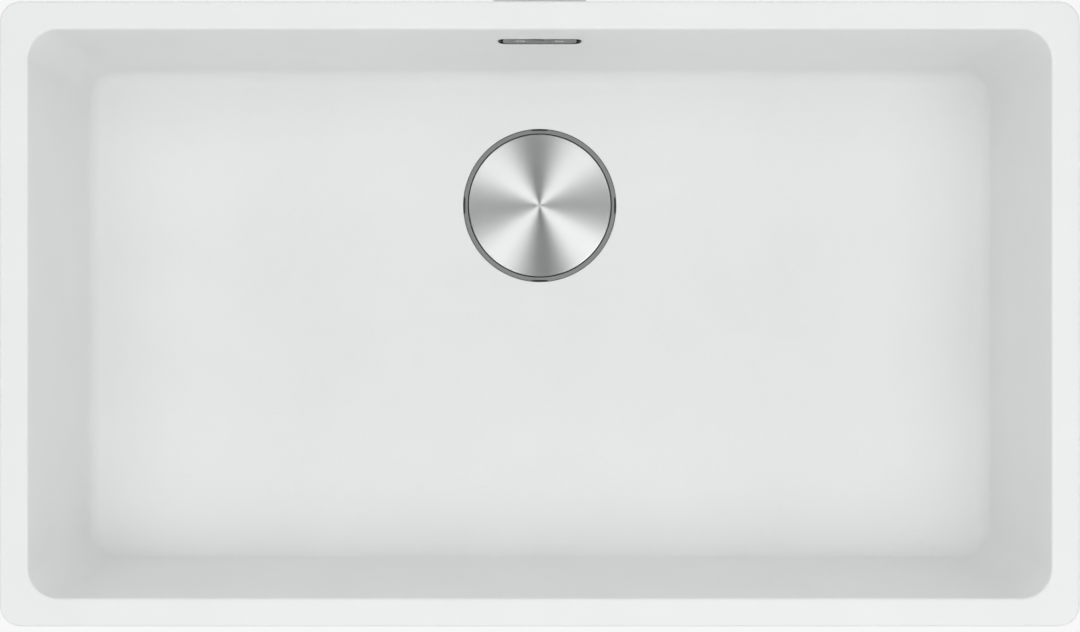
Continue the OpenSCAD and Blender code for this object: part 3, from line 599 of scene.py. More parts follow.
def sector(name, inner, outer, web, quarter):
    """A cutter for the opening between two webs of the sump's floor."""
    edges = []
    for radius, backwards in ((outer, False), (inner, True)):
        a = math.asin(web / 2 / radius)
        turn = np.linspace(a, math.pi / 2 - a, 16)
        if backwards:
            turn = turn[::-1]
        edges += [(radius * math.cos(t), radius * math.sin(t)) for t in turn]
    flat = np.array(softened([(x, y, 1.2 if i in (0, 15, 16, 31) else 0) for i, (x, y) in enumerate(edges)]))
    rings = [np.column_stack([flat, np.full(len(flat), z)]) for z in (-50, -47)]
    return skinned(name, rings, spun(90 * quarter))


sump_cutters = [sector("opening", 11, 26, 6, k) for k in range(4)]
notches = [slab("notch", 2.4, 2.4, 0.3, -6.25, 6.25, 0.1, spun(90 * k, 58.8, 0, 0), 3) for k in range(4)]


def steel(name, colour=0.60, low=0.2, high=0.32, drawn=0.00001, **sockets):
    """Stainless steel with fine drawing marks and a faint cloudiness."""
    finish, w = new_finish(name)
    where = w.node("ShaderNodeTexCoord", out=3)
    marks = w.noise(1.0, 3, 0.6, where.vector("MULTIPLY", where, (2600, 2600, 300)))
    cloud = w.noise(90, 3, 0.55)
    dark = colour * 0.95, colour * 0.96, colour * 0.965
    light = colour * 1.03, colour * 1.035, colour * 1.035
    tone, gloss = cloud.ramp(0.3, 0.7).blend(dark, light), cloud.ramp(0.3, 0.7, low, high)
    return apply_finish(finish, marks, drawn, Base_Color=tone, Metallic=1.0, Roughness=gloss, **sockets)


pressed_steel = steel("pressed_stainless")


def satin_lip(name):
    """Pressed steel, with the lip outside a radius blasted to a dull mid grey."""
    finish, w = new_finish(name)
    where = w.node("ShaderNodeTexCoord", out=3)
    about = where.vector("SUBTRACT", where, waste_spot)
    far = about.vector("LENGTH", about.vector("MULTIPLY", about, (1, 1, 0)), out=1)
    lip_part = far.ramp((well_radius - 0.5) / 1000, (well_radius - 0.2) / 1000)
    blast = w.noise(2600, 3, 0.6)
    cloud = w.noise(90, 3, 0.55)
    bright = cloud.ramp(0.3, 0.7).blend((0.57, 0.575, 0.58), (0.62, 0.625, 0.625))
    dull = blast.ramp(0.3, 0.7).blend((0.188, 0.192, 0.194), (0.230, 0.234, 0.235))
    gloss = cloud.ramp(0.3, 0.7, 0.2, 0.32) * (1.0 - lip_part) + lip_part * 0.46
    tone = lip_part.blend(bright, dull)
    return apply_finish(finish, blast * lip_part, 0.00001, Base_Color=tone, Metallic=1.0, Roughness=gloss)


flange_steel = satin_lip("pressed_stainless_satin_lip")
carved(flange, *sump_cutters, *notches)
finished(flange, flange_steel)
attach(flange, "root")
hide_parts("strainer_flange")

# The body's gasket: a flat ring moulded in black nitrile, with a groove in its top face. The
# centre screw squeezes it between the bowl's underside and the waste body.
gasket_radius, body_flange, gasket_foot = 46.5, 56, boss_depth + 3
gasket = turned("body_gasket_ring", sunk([
    (gasket_radius, boss_depth), (49, boss_depth), (49.6, boss_depth + 0.4),
    (50.6, boss_depth + 0.4), (51.2, boss_depth), (body_flange, boss_depth),
    (body_flange, gasket_foot), (gasket_radius, gasket_foot),
], 0.3, 3), waste_place)
finished(gasket, nitrile)
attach(gasket, "root")
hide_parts("body_gasket")

# The waste body: an injection moulding in charcoal polypropylene with the chamber, the
# overflow's inlet and three catches for the nut's carrier.
inlet_depth, inlet_reach = 45, 62
inlet_place = waste_place @ place_at(0, 0, -inlet_depth, -90)


def moulded(name, shade=(0.045, 0.047, 0.050), roughness=0.42):
    """Moulded plastic with a faint spark-eroded grain and flow marks."""
    finish, w = new_finish(name)
    spark = w.noise(2400, 3, 0.6)
    flow = w.noise(35, 3, 0.55)
    lighter = tuple(min(c * 1.3, c + 0.08) for c in shade)
    tone = flow.ramp(0.4, 0.75).blend(shade, lighter)
    gloss = flow.ramp(0.3, 0.7, roughness - 0.05, roughness + 0.07)
    return apply_finish(finish, spark, 0.00003, Base_Color=tone, Roughness=gloss)


charcoal = moulded("charcoal_polypropylene")
spigot_radius, spigot_bore, spigot_pitch = 11, 8.5, 2.0


def spigot_outline(start, end):
    """A threaded spigot's outside from start to end along its axis, in (radius, height)."""
    run = threaded_run(spigot_radius, end - 9.5, end - 0.9, spigot_pitch, 8)
    return [(0, start), (spigot_radius, start), *run, (10.5, end - 0.1), (10.2, end), (0, end)]


def spigot_thread(end):
    return thread(spigot_pitch, 0.75, end - 9.5, end - 0.7, spigot_radius)


def spigot_hole(start, end, beyond):
    """A cutter for a spigot's bore, which is eased at the spigot's end."""
    bore, mouth = spigot_bore, spigot_bore + 0.5
    return [(0, start), (bore, start), (bore, end - 0.6), (mouth, end - 0.1), (mouth, beyond), (0, beyond)]


body_radius, chamber_radius, weld_radius, weld = 48.7, 46.2, 50.5, 58
body = turned("waste_body_moulding", sunk([
    (0, gasket_foot, 0), (body_flange, gasket_foot, 0.4), (body_flange, gasket_foot + 4, 0.8),
    (body_radius, gasket_foot + 4, 1.5), (body_radius, weld - 2, 0.4), (weld_radius, weld - 2, 0.3),
    (weld_radius, weld, 0.1), (0, weld, 0),
], 0.4), waste_place, 144)
inlet = turned("inlet", spigot_outline(30, inlet_reach), inlet_place, 64, spigot_thread(inlet_reach))
carved(body, inlet, how="UNION")
chamber = [(0, -10), (chamber_radius, -10), (chamber_radius, -70), (0, -70)]
chamber_tool = turned("chamber", chamber, waste_place, 144)
bore_tool = turned("bore", spigot_hole(20, inlet_reach, 70), inlet_place, 64)
carved(body, chamber_tool, bore_tool)
arm_bearings = [-90 + 120 * k for k in range(3)]
for arm_bearing in arm_bearings:
    catch = slab("catch", 3.75, 9, 0.6, -3.5, 3.5, 0.5, spun(arm_bearing, 45.575, 0, -52), 3)
    seat = slab("seat", 8, 10, 0.2, -1.55, 1.55, 0.05, spun(arm_bearing, 43.4, 0, -54.45), 2)
    carved(body, carved(catch, seat), how="UNION")
finished(body, charcoal)
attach(body, "root")
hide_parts("waste_body")

# The nut's carrier: a three-armed moulding that hangs in the body's catches and holds the brass
# nut in the middle of the outlet.
hub_radius, hub_top, hub_foot = 10, 49.5, 68.5
nut_radius, nut_top, nut_foot = 6.5, 51.5, 65.5
carrier = turned("nut_carrier_moulding", sunk([
    (screw_hole, hub_top, 0.3), (hub_radius, hub_top, 0.5), (hub_radius, hub_foot, 0.8),
    (nut_radius + 0.05, hub_foot, 0.3), (nut_radius + 0.05, nut_top, 0.2), (screw_hole, nut_top, 0.2),
], 0.3), waste_place, 64)
arms = [slab("arm", 38.15, 7, 0.6, -1.5, 1.5, 0.4, spun(b, 27.075, 0, -53), 3) for b in arm_bearings]
carved(carrier, *arms, how="UNION")
finished(carrier, charcoal)
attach(carrier, "root")
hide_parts("nut_carrier")

# The outlet: the waste body's lower moulding, a funnel with a threaded spigot for the trap,
# spin-welded to the body along the seam.
outlet_radius, outlet_bore, outlet_pitch = 23.9, 20, 2.31
funnel_foot, outlet_end = 76, 100
outlet_run = [(outlet_radius, -h) for _, h in threaded_run(outlet_radius, 78.5, 98.6, outlet_pitch, 8)]
outlet_outline = sunk([
    (outlet_bore, funnel_foot, 2.5), (chamber_radius, weld, 0.2), (weld_radius, weld, 0.1),
    (weld_radius, weld + 2, 0.3), (body_radius, weld + 2, 1), (outlet_radius, funnel_foot, 3),
    (outlet_radius, outlet_end, 0.6), (outlet_bore, outlet_end, 0.4),
], 0.4)
split = 1 + max(i for i, (r, h) in enumerate(outlet_outline) if r > outlet_radius - 0.1 and h > -90)
outlet_outline[split:split] = outlet_run
outlet_thread = thread(outlet_pitch, 1.35, -98.4, -78.6, outlet_radius)
outlet = turned("outlet_moulding", outlet_outline, waste_place, 128, outlet_thread)
finished(outlet, charcoal, 50)
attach(outlet, "root")
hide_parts("waste_outlet")

# The brass nut: a sleeve turned from bar and knurled outside. The carrier is moulded round it,
# and the centre screw runs in its inner thread.
screw_pitch, nut_bore = 1.25, 3.4
nut_run = [(nut_bore, -h) for _, h in threaded_run(nut_bore, nut_foot - 0.5, nut_top + 0.5, screw_pitch, 6)]
nut_thread = thread(screw_pitch, -0.2, -65.0, -52.0, nut_bore)


def knurled(radius, height, angle):
    """The nut's outside with every other point drawn in, and its bore threaded."""
    drawn_in = 0.25 * (np.arange(len(angle)) % 2) * (radius[0] > nut_radius - 0.1)
    return nut_thread(radius - drawn_in, height, angle)


body_nut = turned("body_nut_turned", [
    (3.7, -51.5), (6.2, -51.5), (6.5, -51.8), (6.5, -57.2), (6.0, -57.6), (6.0, -59.4), (6.5, -59.8),
    (6.5, -65.2), (6.2, -65.5), (3.7, -65.5), *nut_run,
], waste_place, 96, knurled)
finished(body_nut, brass_finish)
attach(body_nut, "root")
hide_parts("body_nut")

# The centre screw: turned from stainless bar, with a hexagon head that is bored for the basket's
# stem. It clamps the flange, the bowl and the waste body together.


def hexagon(across):
    """Cuts a turned head to a hexagon of a width across its flats."""
    def shape(radius, height, angle):
        side = (angle + math.pi / 6) % (math.pi / 3) - math.pi / 6
        return np.where(radius > across / 2 * 0.99, np.minimum(radius, across / 2 / np.cos(side)), radius)
    return shape


def hex_edge(across, height, way):
    """The chamfered edge of a hexagon head, from its flat outwards, as (radius, height)."""
    corner = across / 2 / math.cos(math.pi / 6)
    radii = np.linspace(across / 2 * 0.96, corner, 6)
    return [(r, height + way * 0.5 * (r - radii[0])) for r in radii]


screw_core, head_width = 3.35, 14
screw_run = [(screw_core, -h) for _, h in threaded_run(screw_core, 51.7, 65.0, screw_pitch, 6)]
screw_thread, screw_head = thread(screw_pitch, 0.45, -65.0, -51.8, screw_core), hexagon(head_width)
screw = turned("centre_screw_turned", [
    (0, -48), (3.2, -48), (3.2, -44), (5.45, -44), (5.45, -41.3), (5.7, -41),
    *hex_edge(head_width, -41, -1), *hex_edge(head_width, -48, 1)[::-1],
    (4.2, -48), (4, -48.2), (4, -51.3), (3.8, -51.5), *screw_run, (2.9, -65.5), (0, -65.5),
], waste_place, 96, lambda r, h, a: screw_thread(screw_head(r, h, a), h, a))
bright_steel = steel("turned_stainless", 0.62, 0.16, 0.26)
finished(screw, bright_steel)
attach(screw, "root")
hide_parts("centre_screw")

# The grip: a bush moulded in pale acetal and pressed into the screw's head. The grooved foot of
# the basket's stem clicks into it, so that the basket stays down.
grip = turned("stem_grip_bush", sunk([
    (3.1, 41, 0.3), (5.4, 41, 0.15), (5.4, 44, 0.15), (3.1, 44, 0.3),
], 0.3, 3), waste_place, 64)
pale = moulded("natural_acetal", (0.62, 0.61, 0.57), 0.34)
finished(grip, pale)
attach(grip, "root")
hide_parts("stem_grip")

# The strainer basket: a stainless pressing of 0.8 mm sheet with a rolled rim. Twenty-eight slots
# are pierced in its wall and three rings of holes in its floor.


def arc(x, y, radius, start, end, count, rise=None):
    """Points along an arc about its middle, with its two ends in quarter turns. An arc that is
    flatter or taller than round gives its rise too."""
    turned_by = np.linspace(start * math.pi / 2, end * math.pi / 2, count)
    return [(x + radius * math.cos(t), y + (rise or radius) * math.sin(t)) for t in turned_by]


basket_outline = [
    (46, -3.7), (46, -3.1), (45.9, -3.0), (44.6, -3.0), *arc(44.2, -5.8, 2.8, 1, 2, 8),
    (41.25, -6.8), (39.8, -16), (38.2, -26.5), *arc(34.8, -27.7, 3.2, 0, -1, 9),
    (34, -30.9), (24, -30.9), (8, -30.9), (3.3, -30.9), (3.05, -31), (3.05, -31.6), (3.2, -31.7),
    (8, -31.7), (24, -31.7), (34, -31.7), *arc(34.8, -27.7, 4, -1, 0, 10),
    (39.0, -26.5), (40.6, -16), (42.05, -6.8), *arc(44.2, -5.8, 2, 2, 1, 7), (44.6, -3.8), (45.9, -3.8),
]
basket = turned("strainer_basket_pressing", basket_outline, waste_place, 168)
slot_cutter = slab("slot_cutter", 3, 14, 1.48, 36, 45, 0.01, place_at(0, 0, -16.5), 8)
drain_cutter = turned("drain_cutter", [(0, -33), (1.75, -33), (1.75, -30), (0, -30)], Matrix(), 20)
basket_inputs = {
    "Slot": slot_cutter, "Slots": 28, "Hole": drain_cutter,
    "Inner holes": 8, "Inner ring": 0.012, "Middle holes": 14, "Middle ring": 0.020,
    "Outer holes": 20, "Outer ring": 0.028,
}
tree, w, given = tree_of("pierced_basket", basket_inputs)


def ringed(pattern, count, radius, turn=0.0):
    """Copies of a pattern round the waste, each turned to face outwards."""
    ring = w.node("GeometryNodeMeshCircle", {}, {"Vertices": given[count], "Radius": radius})
    place = w.node("GeometryNodeInputIndex") * (2 * math.pi / basket_inputs[count]) + turn
    facing = w.node("ShaderNodeCombineXYZ", {}, {"Z": place})
    links = {"Points": ring, "Instance": shape_of(given, pattern), "Rotation": facing}
    return w.node("GeometryNodeInstanceOnPoints", {}, links)


def gathered(tree, *wires):
    """Several geometries as one."""
    joint = tree.nodes.new("GeometryNodeJoinGeometry")
    for wire in wires:
        tree.links.new(wire.socket, joint.inputs[0])
    return Wire(tree, joint.outputs[0])


cutters = gathered(
    tree,
    ringed("Slot", "Slots", 0.0, math.pi / basket_inputs["Slots"] - math.pi / 2),
    *[ringed("Hole", name + " holes", given[name + " ring"]) for name in ("Inner", "Middle", "Outer")],
)
loose = w.node("GeometryNodeRealizeInstances", {}, {0: cutters})
in_place = w.node("GeometryNodeTransform", {}, {"Geometry": loose, "Translation": waste_spot})
pierced = w.node(
    "GeometryNodeMeshBoolean", {"operation": "DIFFERENCE", "solver": "EXACT"},
    {"Mesh 1": given["Geometry"], "Mesh 2": in_place},
)
basket_steel = steel("basket_stainless", 0.61, 0.2, 0.3)
grown(basket, tree, basket_inputs, pierced, basket_steel)
bpy.data.objects.remove(slot_cutter)
bpy.data.objects.remove(drain_cutter)
smoothed(basket)
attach(basket, "basket")
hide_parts("strainer_basket")

# The stem: turned stainless bar, riveted under the basket by its collar. Its grooved foot clicks
# into the grip.
stem = turned("basket_stem_turned", [
    (0, -5), (2.7, -5), (3, -5.3), (3, -12), (3, -20), (3, -29.2), (3.3, -29.5), (5.6, -29.5),
    (6, -29.8), (6, -30.7), (5.9, -30.9), (3.02, -30.9), (3, -31), (3, -36), (3, -42.6), (3, -43),
    (2.6, -44), (3, -45), (2.95, -45.2), (2.6, -47), (0, -47),
], waste_place, 64)
finished(stem, bright_steel, 25)
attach(stem, "basket")
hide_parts("basket_stem")

# The knob: a charcoal moulding pressed on the top of the stem, with a waist by which wet fingers
# pull it up. The loose cover rests on it.
knob = turned("basket_knob_moulding", [
    (0, -2), (6, -2.0), (10.2, -2.0), *arc(10.5, -3.5, 1.5, 1, -1, 9), *arc(10.5, -7, 1.5, 1, 3, 11, 2),
    *arc(10.5, -10.5, 1.5, 1, -1, 9), (10.2, -12), (3.4, -12), (3.1, -11.8), (3.1, -4.9), (0, -4.9),
], waste_place, 96)
finished(knob, charcoal)
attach(knob, "basket")
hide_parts("basket_knob")

# The plug's washer: a disc stamped from 1 mm stainless sheet. It lies on the stem between the
# basket and the soft plug, and spreads the nut's pull.
washer = turned("plug_washer_disc", sunk([
    (3.05, 31.7), (24, 31.7), (24, 32.7), (3.05, 32.7),
], 0.15, 2), waste_place, 96)
finished(washer, pressed_steel)
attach(washer, "basket")
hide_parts("plug_washer")

# The plug: a soft disc moulded in black nitrile, with a groove under its edge. It seals on the
# cup's shelf when the basket is pressed down.
plug = turned("plug_seal_disc", sunk([
    (3.05, 32.7, 0.1), (31, 32.7, 0.8), (31, 35.7, 0.3), (29, 35.7, 0.3), (28.4, 35.3, 0.3),
    (26.8, 35.3, 0.3), (26.2, 35.7, 0.3), (3.05, 35.7, 0.1),
], 0.3, 4), waste_place, 128)
finished(plug, nitrile)
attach(plug, "basket")
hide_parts("plug_seal")

# The stem's nut: a flanged hexagon nut turned from stainless bar. It clamps the basket, the
# washer and the plug on the stem.
stem_nut = turned("stem_nut_turned", [
    (3.05, -35.7), (8.8, -35.7), (9, -35.9), (9, -36.5), (8.8, -36.7), (5.9, -36.7), (5.774, -36.72),
    *hex_edge(10, -39.9, 1)[::-1], (3.3, -39.9), (3.05, -39.6),
], waste_place, 96, lambda r, h, a: hexagon(10)(r, h, a) if h < -36.71 else r)
finished(stem_nut, bright_steel)
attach(stem_nut, "basket")
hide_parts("stem_nut")

# The cover: a flat stainless disc with a turned-down edge, brushed in circles on a turntable.
# It rests loose on the knob and hides the waste.
cover_top, cover_under = -0.3, -1.3
cover = turned("waste_cover_disc", [
    *[(r, cover_top) for r in (0, 2, 8, 20, 34, 46, 52, 53.6)], *arc(54.5, -0.8, 0.5, 1, 0, 7),
    (55, -2.3), (54.9, -2.5), (54.1, -2.5), (54, -2.3), (54, -1.6),
    *[(r, cover_under) for r in (53.7, 52, 30, 10, 0)],
], waste_place, 192)


def circular_brushed(name, colour=0.58):
    """Stainless steel brushed in circles about the waste, with faint rays where the brush
    chattered."""
    finish, w = new_finish(name)
    where = w.node("ShaderNodeTexCoord", out=3)
    about = where.vector("SUBTRACT", where, waste_spot)
    flat = about.vector("MULTIPLY", about, (1, 1, 0))
    far = about.vector("LENGTH", flat, out=1)
    facing = about.vector("NORMALIZE", flat)
    rings = w.node("ShaderNodeCombineXYZ", {}, {"X": far * 5200, "Y": 0.0, "Z": 0.0})
    grooves = w.noise(1.0, 3, 0.6, rings)
    rays = w.noise(26, 3, 0.6, facing)
    dark = colour * 0.9, colour * 0.91, colour * 0.915
    light = colour * 1.06, colour * 1.065, colour * 1.06
    tone, gloss = grooves.ramp(0.3, 0.7).blend(dark, light), rays.ramp(0.3, 0.7, 0.285, 0.33)
    return apply_finish(
        finish, grooves, 0.0000006, Base_Color=tone, Metallic=1.0, Roughness=gloss,
        Anisotropic=0.96, Anisotropic_Rotation=0.25,
    )


cover_finish = circular_brushed("circular_brushed_stainless")
finished(cover, cover_finish)
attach(cover, "cap")
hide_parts("cap_disc")

# The cover's hub: a charcoal moulding glued under the middle of the disc. It fits loosely over
# the knob and keeps the cover level.
hub = turned("cap_hub_moulding", sunk([
    (0, 1.3, 0), (16, 1.3, 0.2), (16, 6, 0.4), (12.3, 6, 0.4), (12.3, 2.3, 0.3), (0, 2.3, 0),
], 0.3, 3), waste_place, 96)
finished(hub, charcoal)
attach(hub, "cap")
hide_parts("cap_hub")

# The overflow's plate: a small stainless cover that stands in the moulded slot, with a gap all
# round it for the water. Two countersunk screws hold it to the housing behind the wall.
plate = slab("overflow_plate_pressing", 53, 21, 5.5, 0.5, 2, 0.4, overflow_place, 12)
screw_places = [overflow_place @ place_at(side * 14, 0.5, 0, -90) for side in (-1, 1)]
sinks = [
    turned("countersink", [(0, -0.5), (4.2, -0.5), (3.66, 0), (2.06, 1.4), (2.06, 3), (0, 3)], where, 48)
    for where in screw_places
]
plate_steel = steel("plate_stainless", 0.42, 0.24, 0.36, Specular_Tint=(0.55, 0.555, 0.56))
carved(plate, *sinks)
finished(plate, plate_steel)
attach(plate, "root")
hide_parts("overflow_plate")

# The overflow's screws: two stainless self-tapping screws with countersunk cross-recess heads.
# They go through the plate into the housing's posts, and pull the housing to the back wall.
tapping_run = threaded_run(2, 3.2, 16.8, 1.6, 8)
tapping = turned("tapping_screw", [
    (0, 0.02), (1.6, 0.0), (3.35, 0.03), (3.58, 0.12), (3.5, 0.22), (2.1, 1.36), (1.98, 1.5), (2, 2.4),
    *tapping_run, (1.4, 17.2), (0.5, 17.8), (0, 18),
], Matrix(), 40, thread(1.6, 0.55, 3.2, 17.0, 2))
crossed = [Matrix.Rotation(math.radians(90 * k + 45), 4, "Z") for k in range(2)]
recess_tools = [
    slab("recess", 3.6, 1.6, 0.3, -0.36, 0.36, 0.1, turn @ place_at(0, 0, 0.6), 2) for turn in crossed
]
carved(tapping, *recess_tools)
tapping_inputs = {"Screw": tapping, "Spacing": 0.028}
tree, w, given = tree_of("plate_screws", tapping_inputs)
pair = w.node("GeometryNodeMeshLine", {"mode": "OFFSET"}, {
    "Count": 2, "Start Location": w.node("ShaderNodeCombineXYZ", {}, {"X": given["Spacing"] * -0.5}),
    "Offset": w.node("ShaderNodeCombineXYZ", {}, {"X": given["Spacing"]}),
})
driven = w.node("GeometryNodeInstanceOnPoints", {}, {
    "Points": pair, "Instance": shape_of(given, "Screw"), "Rotation": (-math.pi / 2, 0, 0),
})
screws = solid("overflow_screws_tapping", [(0, 0, 0)], [])
grown(screws, tree, tapping_inputs, driven, bright_steel)
shift = overflow_place @ Matrix.Translation((0, 0.5, 0))
screws.data.transform(Matrix.LocRotScale(shift.to_translation() / 1000, shift.to_quaternion(), None))
bpy.data.objects.remove(tapping)
smoothed(screws, 40)
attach(screws, "root")
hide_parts("overflow_screws")

# The slot's liner: a black nitrile moulding in one piece, a sleeve in the slot's throat with a
# wider collar in its mouth. It shows as a dark line round the plate: a real part, whose black
# also stands in for the shadow in the gap round the plate, as painted shade.


def rimmed(name, outside, inside, near, far, place, edge=0.4):
    """A flat frame that stands across Y, from its outside and inside (width, height, bend)."""
    def ring(size, i, y):
        return rounded(size[0] - 2 * i, size[1] - 2 * i, size[2] - i, y, 10)
    eased = [(edge, 0), (edge / 3, edge / 3), (0, edge)]
    return skinned(name, [
        *[ring(outside, i, near + y) for i, y in eased], *[ring(outside, i, far - y) for i, y in eased[::-1]],
        ring(inside, -edge, far), ring(inside, 0, far - edge), ring(inside, 0, near + edge),
        ring(inside, -edge, near),
    ], place, closed=True)


liner = rimmed("overflow_liner_sleeve", (59.6, 16.6, 7.3), (57.8, 14.8, 6.4), 1.6, 8, overflow_place, 0.15)
collar = rimmed("collar", (59.6, 24.6, 7.3), (57.8, 22.8, 6.4), 0.4, 2, overflow_place, 0.25)
carved(liner, collar, how="UNION")
finished(liner, nitrile)
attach(liner, "root")
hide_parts("overflow_liner")

# The overflow's gasket: a flat frame cut from black nitrile sheet. The plate's two screws squeeze
# it between the back wall and the housing.
wall_gasket = rimmed("overflow_gasket_frame", (75, 35, 8), (62, 22, 8), 8, 10, overflow_place, 0.3)
finished(wall_gasket, nitrile)
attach(wall_gasket, "root")
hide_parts("overflow_gasket")

# The overflow's housing: a moulded white box behind the back wall. Two posts take the plate's
# screws, and a threaded spigot takes the hose.
spigot_place = overflow_place @ place_at(0, 24, -33.5, 180)
housing = slab("overflow_housing_moulding", 67, 27, 9.5, 10.5, 35.5, 1.4, overflow_place, 12)
collar = slab("collar", 75, 35, 8, 10, 13, 0.5, overflow_place, 12)
spigot = turned("spigot", spigot_outline(-34, 0), spigot_place, 64, spigot_thread(0))
carved(housing, collar, spigot, how="UNION")
hollow = slab("hollow", 62, 22, 8, 5, 33, 1.2, overflow_place, 12)
bore = turned("bore", spigot_hole(-36, 0, 4), spigot_place, 64)
carved(housing, hollow, bore)
post = [(4, 9.5), (4, 31.5), (4.8, 33), (4.8, 33.8), (2.05, 33.8), (2.05, 9.9), (2.4, 9.5)]
carved(housing, *[turned("post", post, where, 48) for where in screw_places], how="UNION")
white_plastic = moulded("white_polypropylene", (0.72, 0.73, 0.725), 0.38)
finished(housing, white_plastic)
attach(housing, "root")
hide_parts("overflow_housing")

# The hose's washers and union nuts, one of each at the housing and at the waste body. Each nut
# has twelve moulded grips, and its lip draws the hose's collar against the washer.
inlet_end = place_at(0, waste_y + inlet_reach, -bowl_depth - inlet_depth, -90)
union_radius, union_bore, union_grips, grip_radius, grip_top = 14.5, 11.15, 12, 1.1, 4.01
washer_thickness = 1.5
bore_run = [(union_bore, h) for _, h in threaded_run(union_bore, 3.6, -7.0, spigot_pitch, 8)]
union_thread = thread(spigot_pitch, -0.6, -7.0, 3.5, union_bore)


def gripped(radius, height, angle):
    """A nut's outside with half-round grips along it, and its bore threaded."""
    if radius[0] > union_radius - 0.1 and height < grip_top:
        half = math.pi / union_grips
        turn = (angle + half) % (2 * half) - half
        aside = union_radius * np.sin(turn)
        bulge = union_radius * np.cos(turn) + np.sqrt(np.maximum(grip_radius ** 2 - aside ** 2, 0))
        lifted = bulge - union_radius + radius
        radius = np.maximum(radius, np.where(np.abs(aside) < grip_radius, lifted, radius))
    return union_thread(radius, height, angle)


for name, where in (("top", spigot_place), ("bottom", inlet_end)):
    ring = turned("hose_washer_" + name + "_ring", sunk([
        (7.6, 0), (10.9, 0), (10.9, -washer_thickness), (7.6, -washer_thickness),
    ], 0.3, 3), where, 64)
    finished(ring, nitrile)
    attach(ring, "root")
    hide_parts("hose_washer_" + name)
    nut = turned("hose_nut_" + name + "_moulding", [
        (11.5, -8), (14.2, -8), (14.5, -7.7), (14.5, 3.6), (14.42, 3.9), (14.3, 4.02), (14.3, 5.4),
        (14.15, 6.0), (13.7, 6.4), (13.2, 6.5), (10.7, 6.5), (10.4, 6.2), (10.4, 4.3), (10.7, 4),
        (union_bore, 4), *bore_run, (union_bore, -7.6),
    ], where, 144, gripped)
    finished(nut, white_plastic, 40)
    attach(nut, "root")
    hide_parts("hose_nut_" + name)

# The overflow's hose: a ribbed polypropylene hose with a collar moulded on each end, formed to
# its bend. It runs from the housing down to the waste body.
bend_radius = 43
bend_middle = 166.96, -bowl_depth - inlet_depth + bend_radius
hose_start = spigot_place @ Vector((0, 0, washer_thickness))
bend_start = Vector((0, *bend_middle)) + bend_radius * Vector((0, math.cos(draft), -math.sin(draft)))
down = (bend_start - hose_start).length
bent_length = bend_radius * (math.pi / 2 - draft)
hose_length = down + bent_length + bend_middle[0] - waste_y - inlet_reach - washer_thickness


def hose_at(s):
    """The hose's middle and its outward direction at a distance along it."""
    a = draft + (math.pi / 2 - draft) * min(1, max(0, (s - down) / bent_length))
    past = min(0, s - down) + max(0, s - down - bent_length)
    c, d = math.cos(a), math.sin(a)
    y, z = bend_middle
    middle = np.array([0, y + bend_radius * c - past * d, z - bend_radius * d - past * c])
    return middle, np.array([0, c, -d])


def hose_ring(s, radius, sides=48):
    middle, out = hose_at(s)
    turn = np.linspace(0, 2 * math.pi, sides, endpoint=False)[:, None]
    return middle + radius * (np.cos(turn) * np.array([1, 0, 0]) + np.sin(turn) * out)


end_length = 20
end_rings = [
    (0, 10.6), (0.3, 10.9), (2.2, 10.9), (2.5, 10.6), (2.5, 9.9), (2.7, 9.7),
    (end_length - 0.6, 9.7), (end_length, 9.5), (end_length + 0.6, 8.8),
]
core_rings = [(s, 8.8) for s in np.linspace(end_length + 1, hose_length - end_length - 1, 70)]
outer = end_rings + core_rings + [(hose_length - s, r) for s, r in end_rings[::-1]]
inner = [(s, 7.6) for s in np.linspace(hose_length - 0.2, 0.2, 76)]
tube_outline = outer + [(hose_length, 7.8)] + inner + [(0, 7.8)]
tube = skinned("overflow_hose_ribbed", [hose_ring(s, r) for s, r in tube_outline], closed=True)
path_points = [tuple(hose_at(s)[0] / 1000) for s in np.linspace(0, hose_length, 300)]
path_mesh = bpy.data.meshes.new("hose_path")
path_mesh.from_pydata(path_points, [(i, i + 1) for i in range(len(path_points) - 1)], [])
path = linked("hose_path", path_mesh)
rib_side = [(8.4, 1.25), (8.8, 1.25), (9.3, 1.12), (9.9, 0.95), (10.2, 0.72), (10.3, 0.4)]
rib = turned("rib", [(r, -h) for r, h in rib_side] + rib_side[::-1], Matrix(), 48)
hose_inputs = {"Path": path, "Rib": rib, "Ribs": 49, "End length": 0.0218}
tree, w, given = tree_of("hose_ribs", hose_inputs)
line = w.node("GeometryNodeMeshToCurve", {}, {"Mesh": shape_of(given, "Path")})
whole = w.node("GeometryNodeCurveLength", {}, {"Curve": line})
trim_start, trim_end = 4, 5
trimmed = w.node("GeometryNodeTrimCurve", {"mode": "LENGTH"}, {
    "Curve": line, trim_start: given["End length"], trim_end: whole - given["End length"],
})
stations = w.node("GeometryNodeResampleCurve", {}, {"Curve": trimmed, "Count": given["Ribs"]})
tangent = w.node("GeometryNodeInputTangent")
along = w.node("FunctionNodeAlignRotationToVector", {"axis": "Z"}, {"Vector": tangent})
ribs = w.node("GeometryNodeInstanceOnPoints", {}, {
    "Points": stations, "Instance": shape_of(given, "Rib"), "Rotation": along,
})
both = gathered(tree, ribs, given["Geometry"])
hose_finish = moulded("grey_hose_polypropylene", (0.30, 0.31, 0.32), 0.4)
grown(tube, tree, hose_inputs, both, hose_finish)
bpy.data.objects.remove(path)
bpy.data.objects.remove(rib)
smoothed(tube, 40)
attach(tube, "root")
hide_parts("overflow_hose")

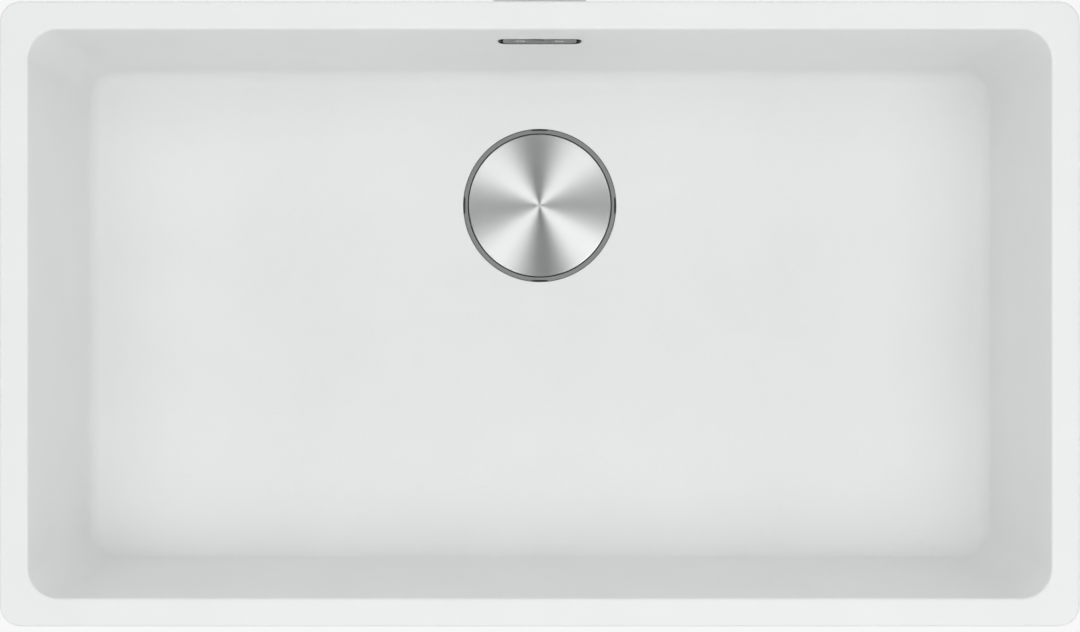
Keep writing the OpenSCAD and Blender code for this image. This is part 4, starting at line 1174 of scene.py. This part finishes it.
# The studio: a pale floor under the sink and soft lamps above it, with gaps between them to the
# sides, the front and the back.
floor_reach, floor_level = 6000, -300.5
floor_sides = (-1, -1), (1, -1), (1, 1), (-1, 1)
floor_corners = [(x * floor_reach, y * floor_reach, floor_level) for x, y in floor_sides]
floor = solid("studio_floor", floor_corners, [(0, 1, 2, 3)])
paper, w = new_finish("studio_paper")
fibre = w.noise(300, 3, 0.6)
tone = fibre.blend((0.86, 0.86, 0.86), (0.88, 0.88, 0.88))
apply_finish(paper, fibre, 0.00002, Base_Color=tone, Roughness=0.9)
light_path = paper.node_tree.nodes.new("ShaderNodeLightPath")
camera_ray, glossy_ray, clear_ray = (
    Wire(paper.node_tree, light_path.outputs[kind])
    for kind in ("Is Camera Ray", "Is Glossy Ray", "Is Transmission Ray")
)
seen_by = w.math("MAXIMUM", w.math("MAXIMUM", camera_ray, glossy_ray), clear_ray)
glow = w.node("ShaderNodeEmission", {}, {"Color": (1, 1, 1, 1), "Strength": 1.0})
shader = Wire(paper.node_tree, paper.node_tree.nodes["Principled BSDF"].outputs[0])
mixed = w.node("ShaderNodeMixShader", {}, {0: seen_by * 0.8, 1: shader, 2: glow})
paper.node_tree.links.new(mixed.socket, paper.node_tree.nodes["Material Output"].inputs[0])
floor.data.materials.append(paper)


def softbox(name, place, target, size, watts):
    """A soft lamp that faces a target."""
    lamp = bpy.data.lights.new(name, "AREA")
    lamp.shape, lamp.size, lamp.size_y, lamp.energy = "RECTANGLE", *size, watts
    made = linked(name, lamp)
    made.location = place
    made.rotation_euler = (Vector(target) - Vector(place)).to_track_quat("-Z", "Y").to_euler()
    made.visible_camera = False


lamp_height, bowl_middle = 2.4, (0, 0, -0.2)
for bearing, near, far in ((43, 1.9, 6.3), (142, 0, 9.0), (226, 5.4, 5.4), (323, 4.4, 10.6)):
    a = math.radians(bearing)
    for reach, size, watts in ((0.62, 0.62, near), (1.25, 1.1, far)):
        if watts:
            place = reach * math.cos(a), reach * math.sin(a), lamp_height
            softbox(f"lamp_{bearing}_{reach}", place, bowl_middle, (size, size), watts)

sky = bpy.data.worlds.new("studio_room")
bpy.context.scene.world = sky
sky.use_nodes = True
w = Wire(sky.node_tree)
up = w.node("ShaderNodeSeparateXYZ", {}, {0: w.node("ShaderNodeTexCoord")}, 2)
aside = w.node("ShaderNodeSeparateXYZ", {}, {0: w.node("ShaderNodeTexCoord")}, 0)
ends = aside.math("ABSOLUTE", aside).ramp(0.5, 0.75) * up.ramp(0.3, 0.5)
level = (up.ramp(0.05, 0.3, 0.85, 0.52) + up.ramp(0.35, 0.55, 0.0, 0.36)) * up.ramp(0.70, 0.82, 1.0, 0.01)
level = level * (1.0 - ends * 0.2)
sky.node_tree.links.new(level.socket, sky.node_tree.nodes["Background"].inputs["Strength"])
sky.node_tree.nodes["Background"].inputs["Color"].default_value = (1, 1, 1, 1)

# The camera: straight above the middle of the sink, as the photograph was taken. From 2 m above
# the rim its lens takes in the whole of the rim and little more.
view = bpy.data.cameras.new("camera")
view.sensor_width, view.lens, view.clip_end = 36, 94.78, 20
camera = linked("camera", view)
camera.location = (0.0002, -0.0015, 2.0)
bpy.context.scene.camera = camera
bpy.context.scene.view_settings.view_transform = "Standard"
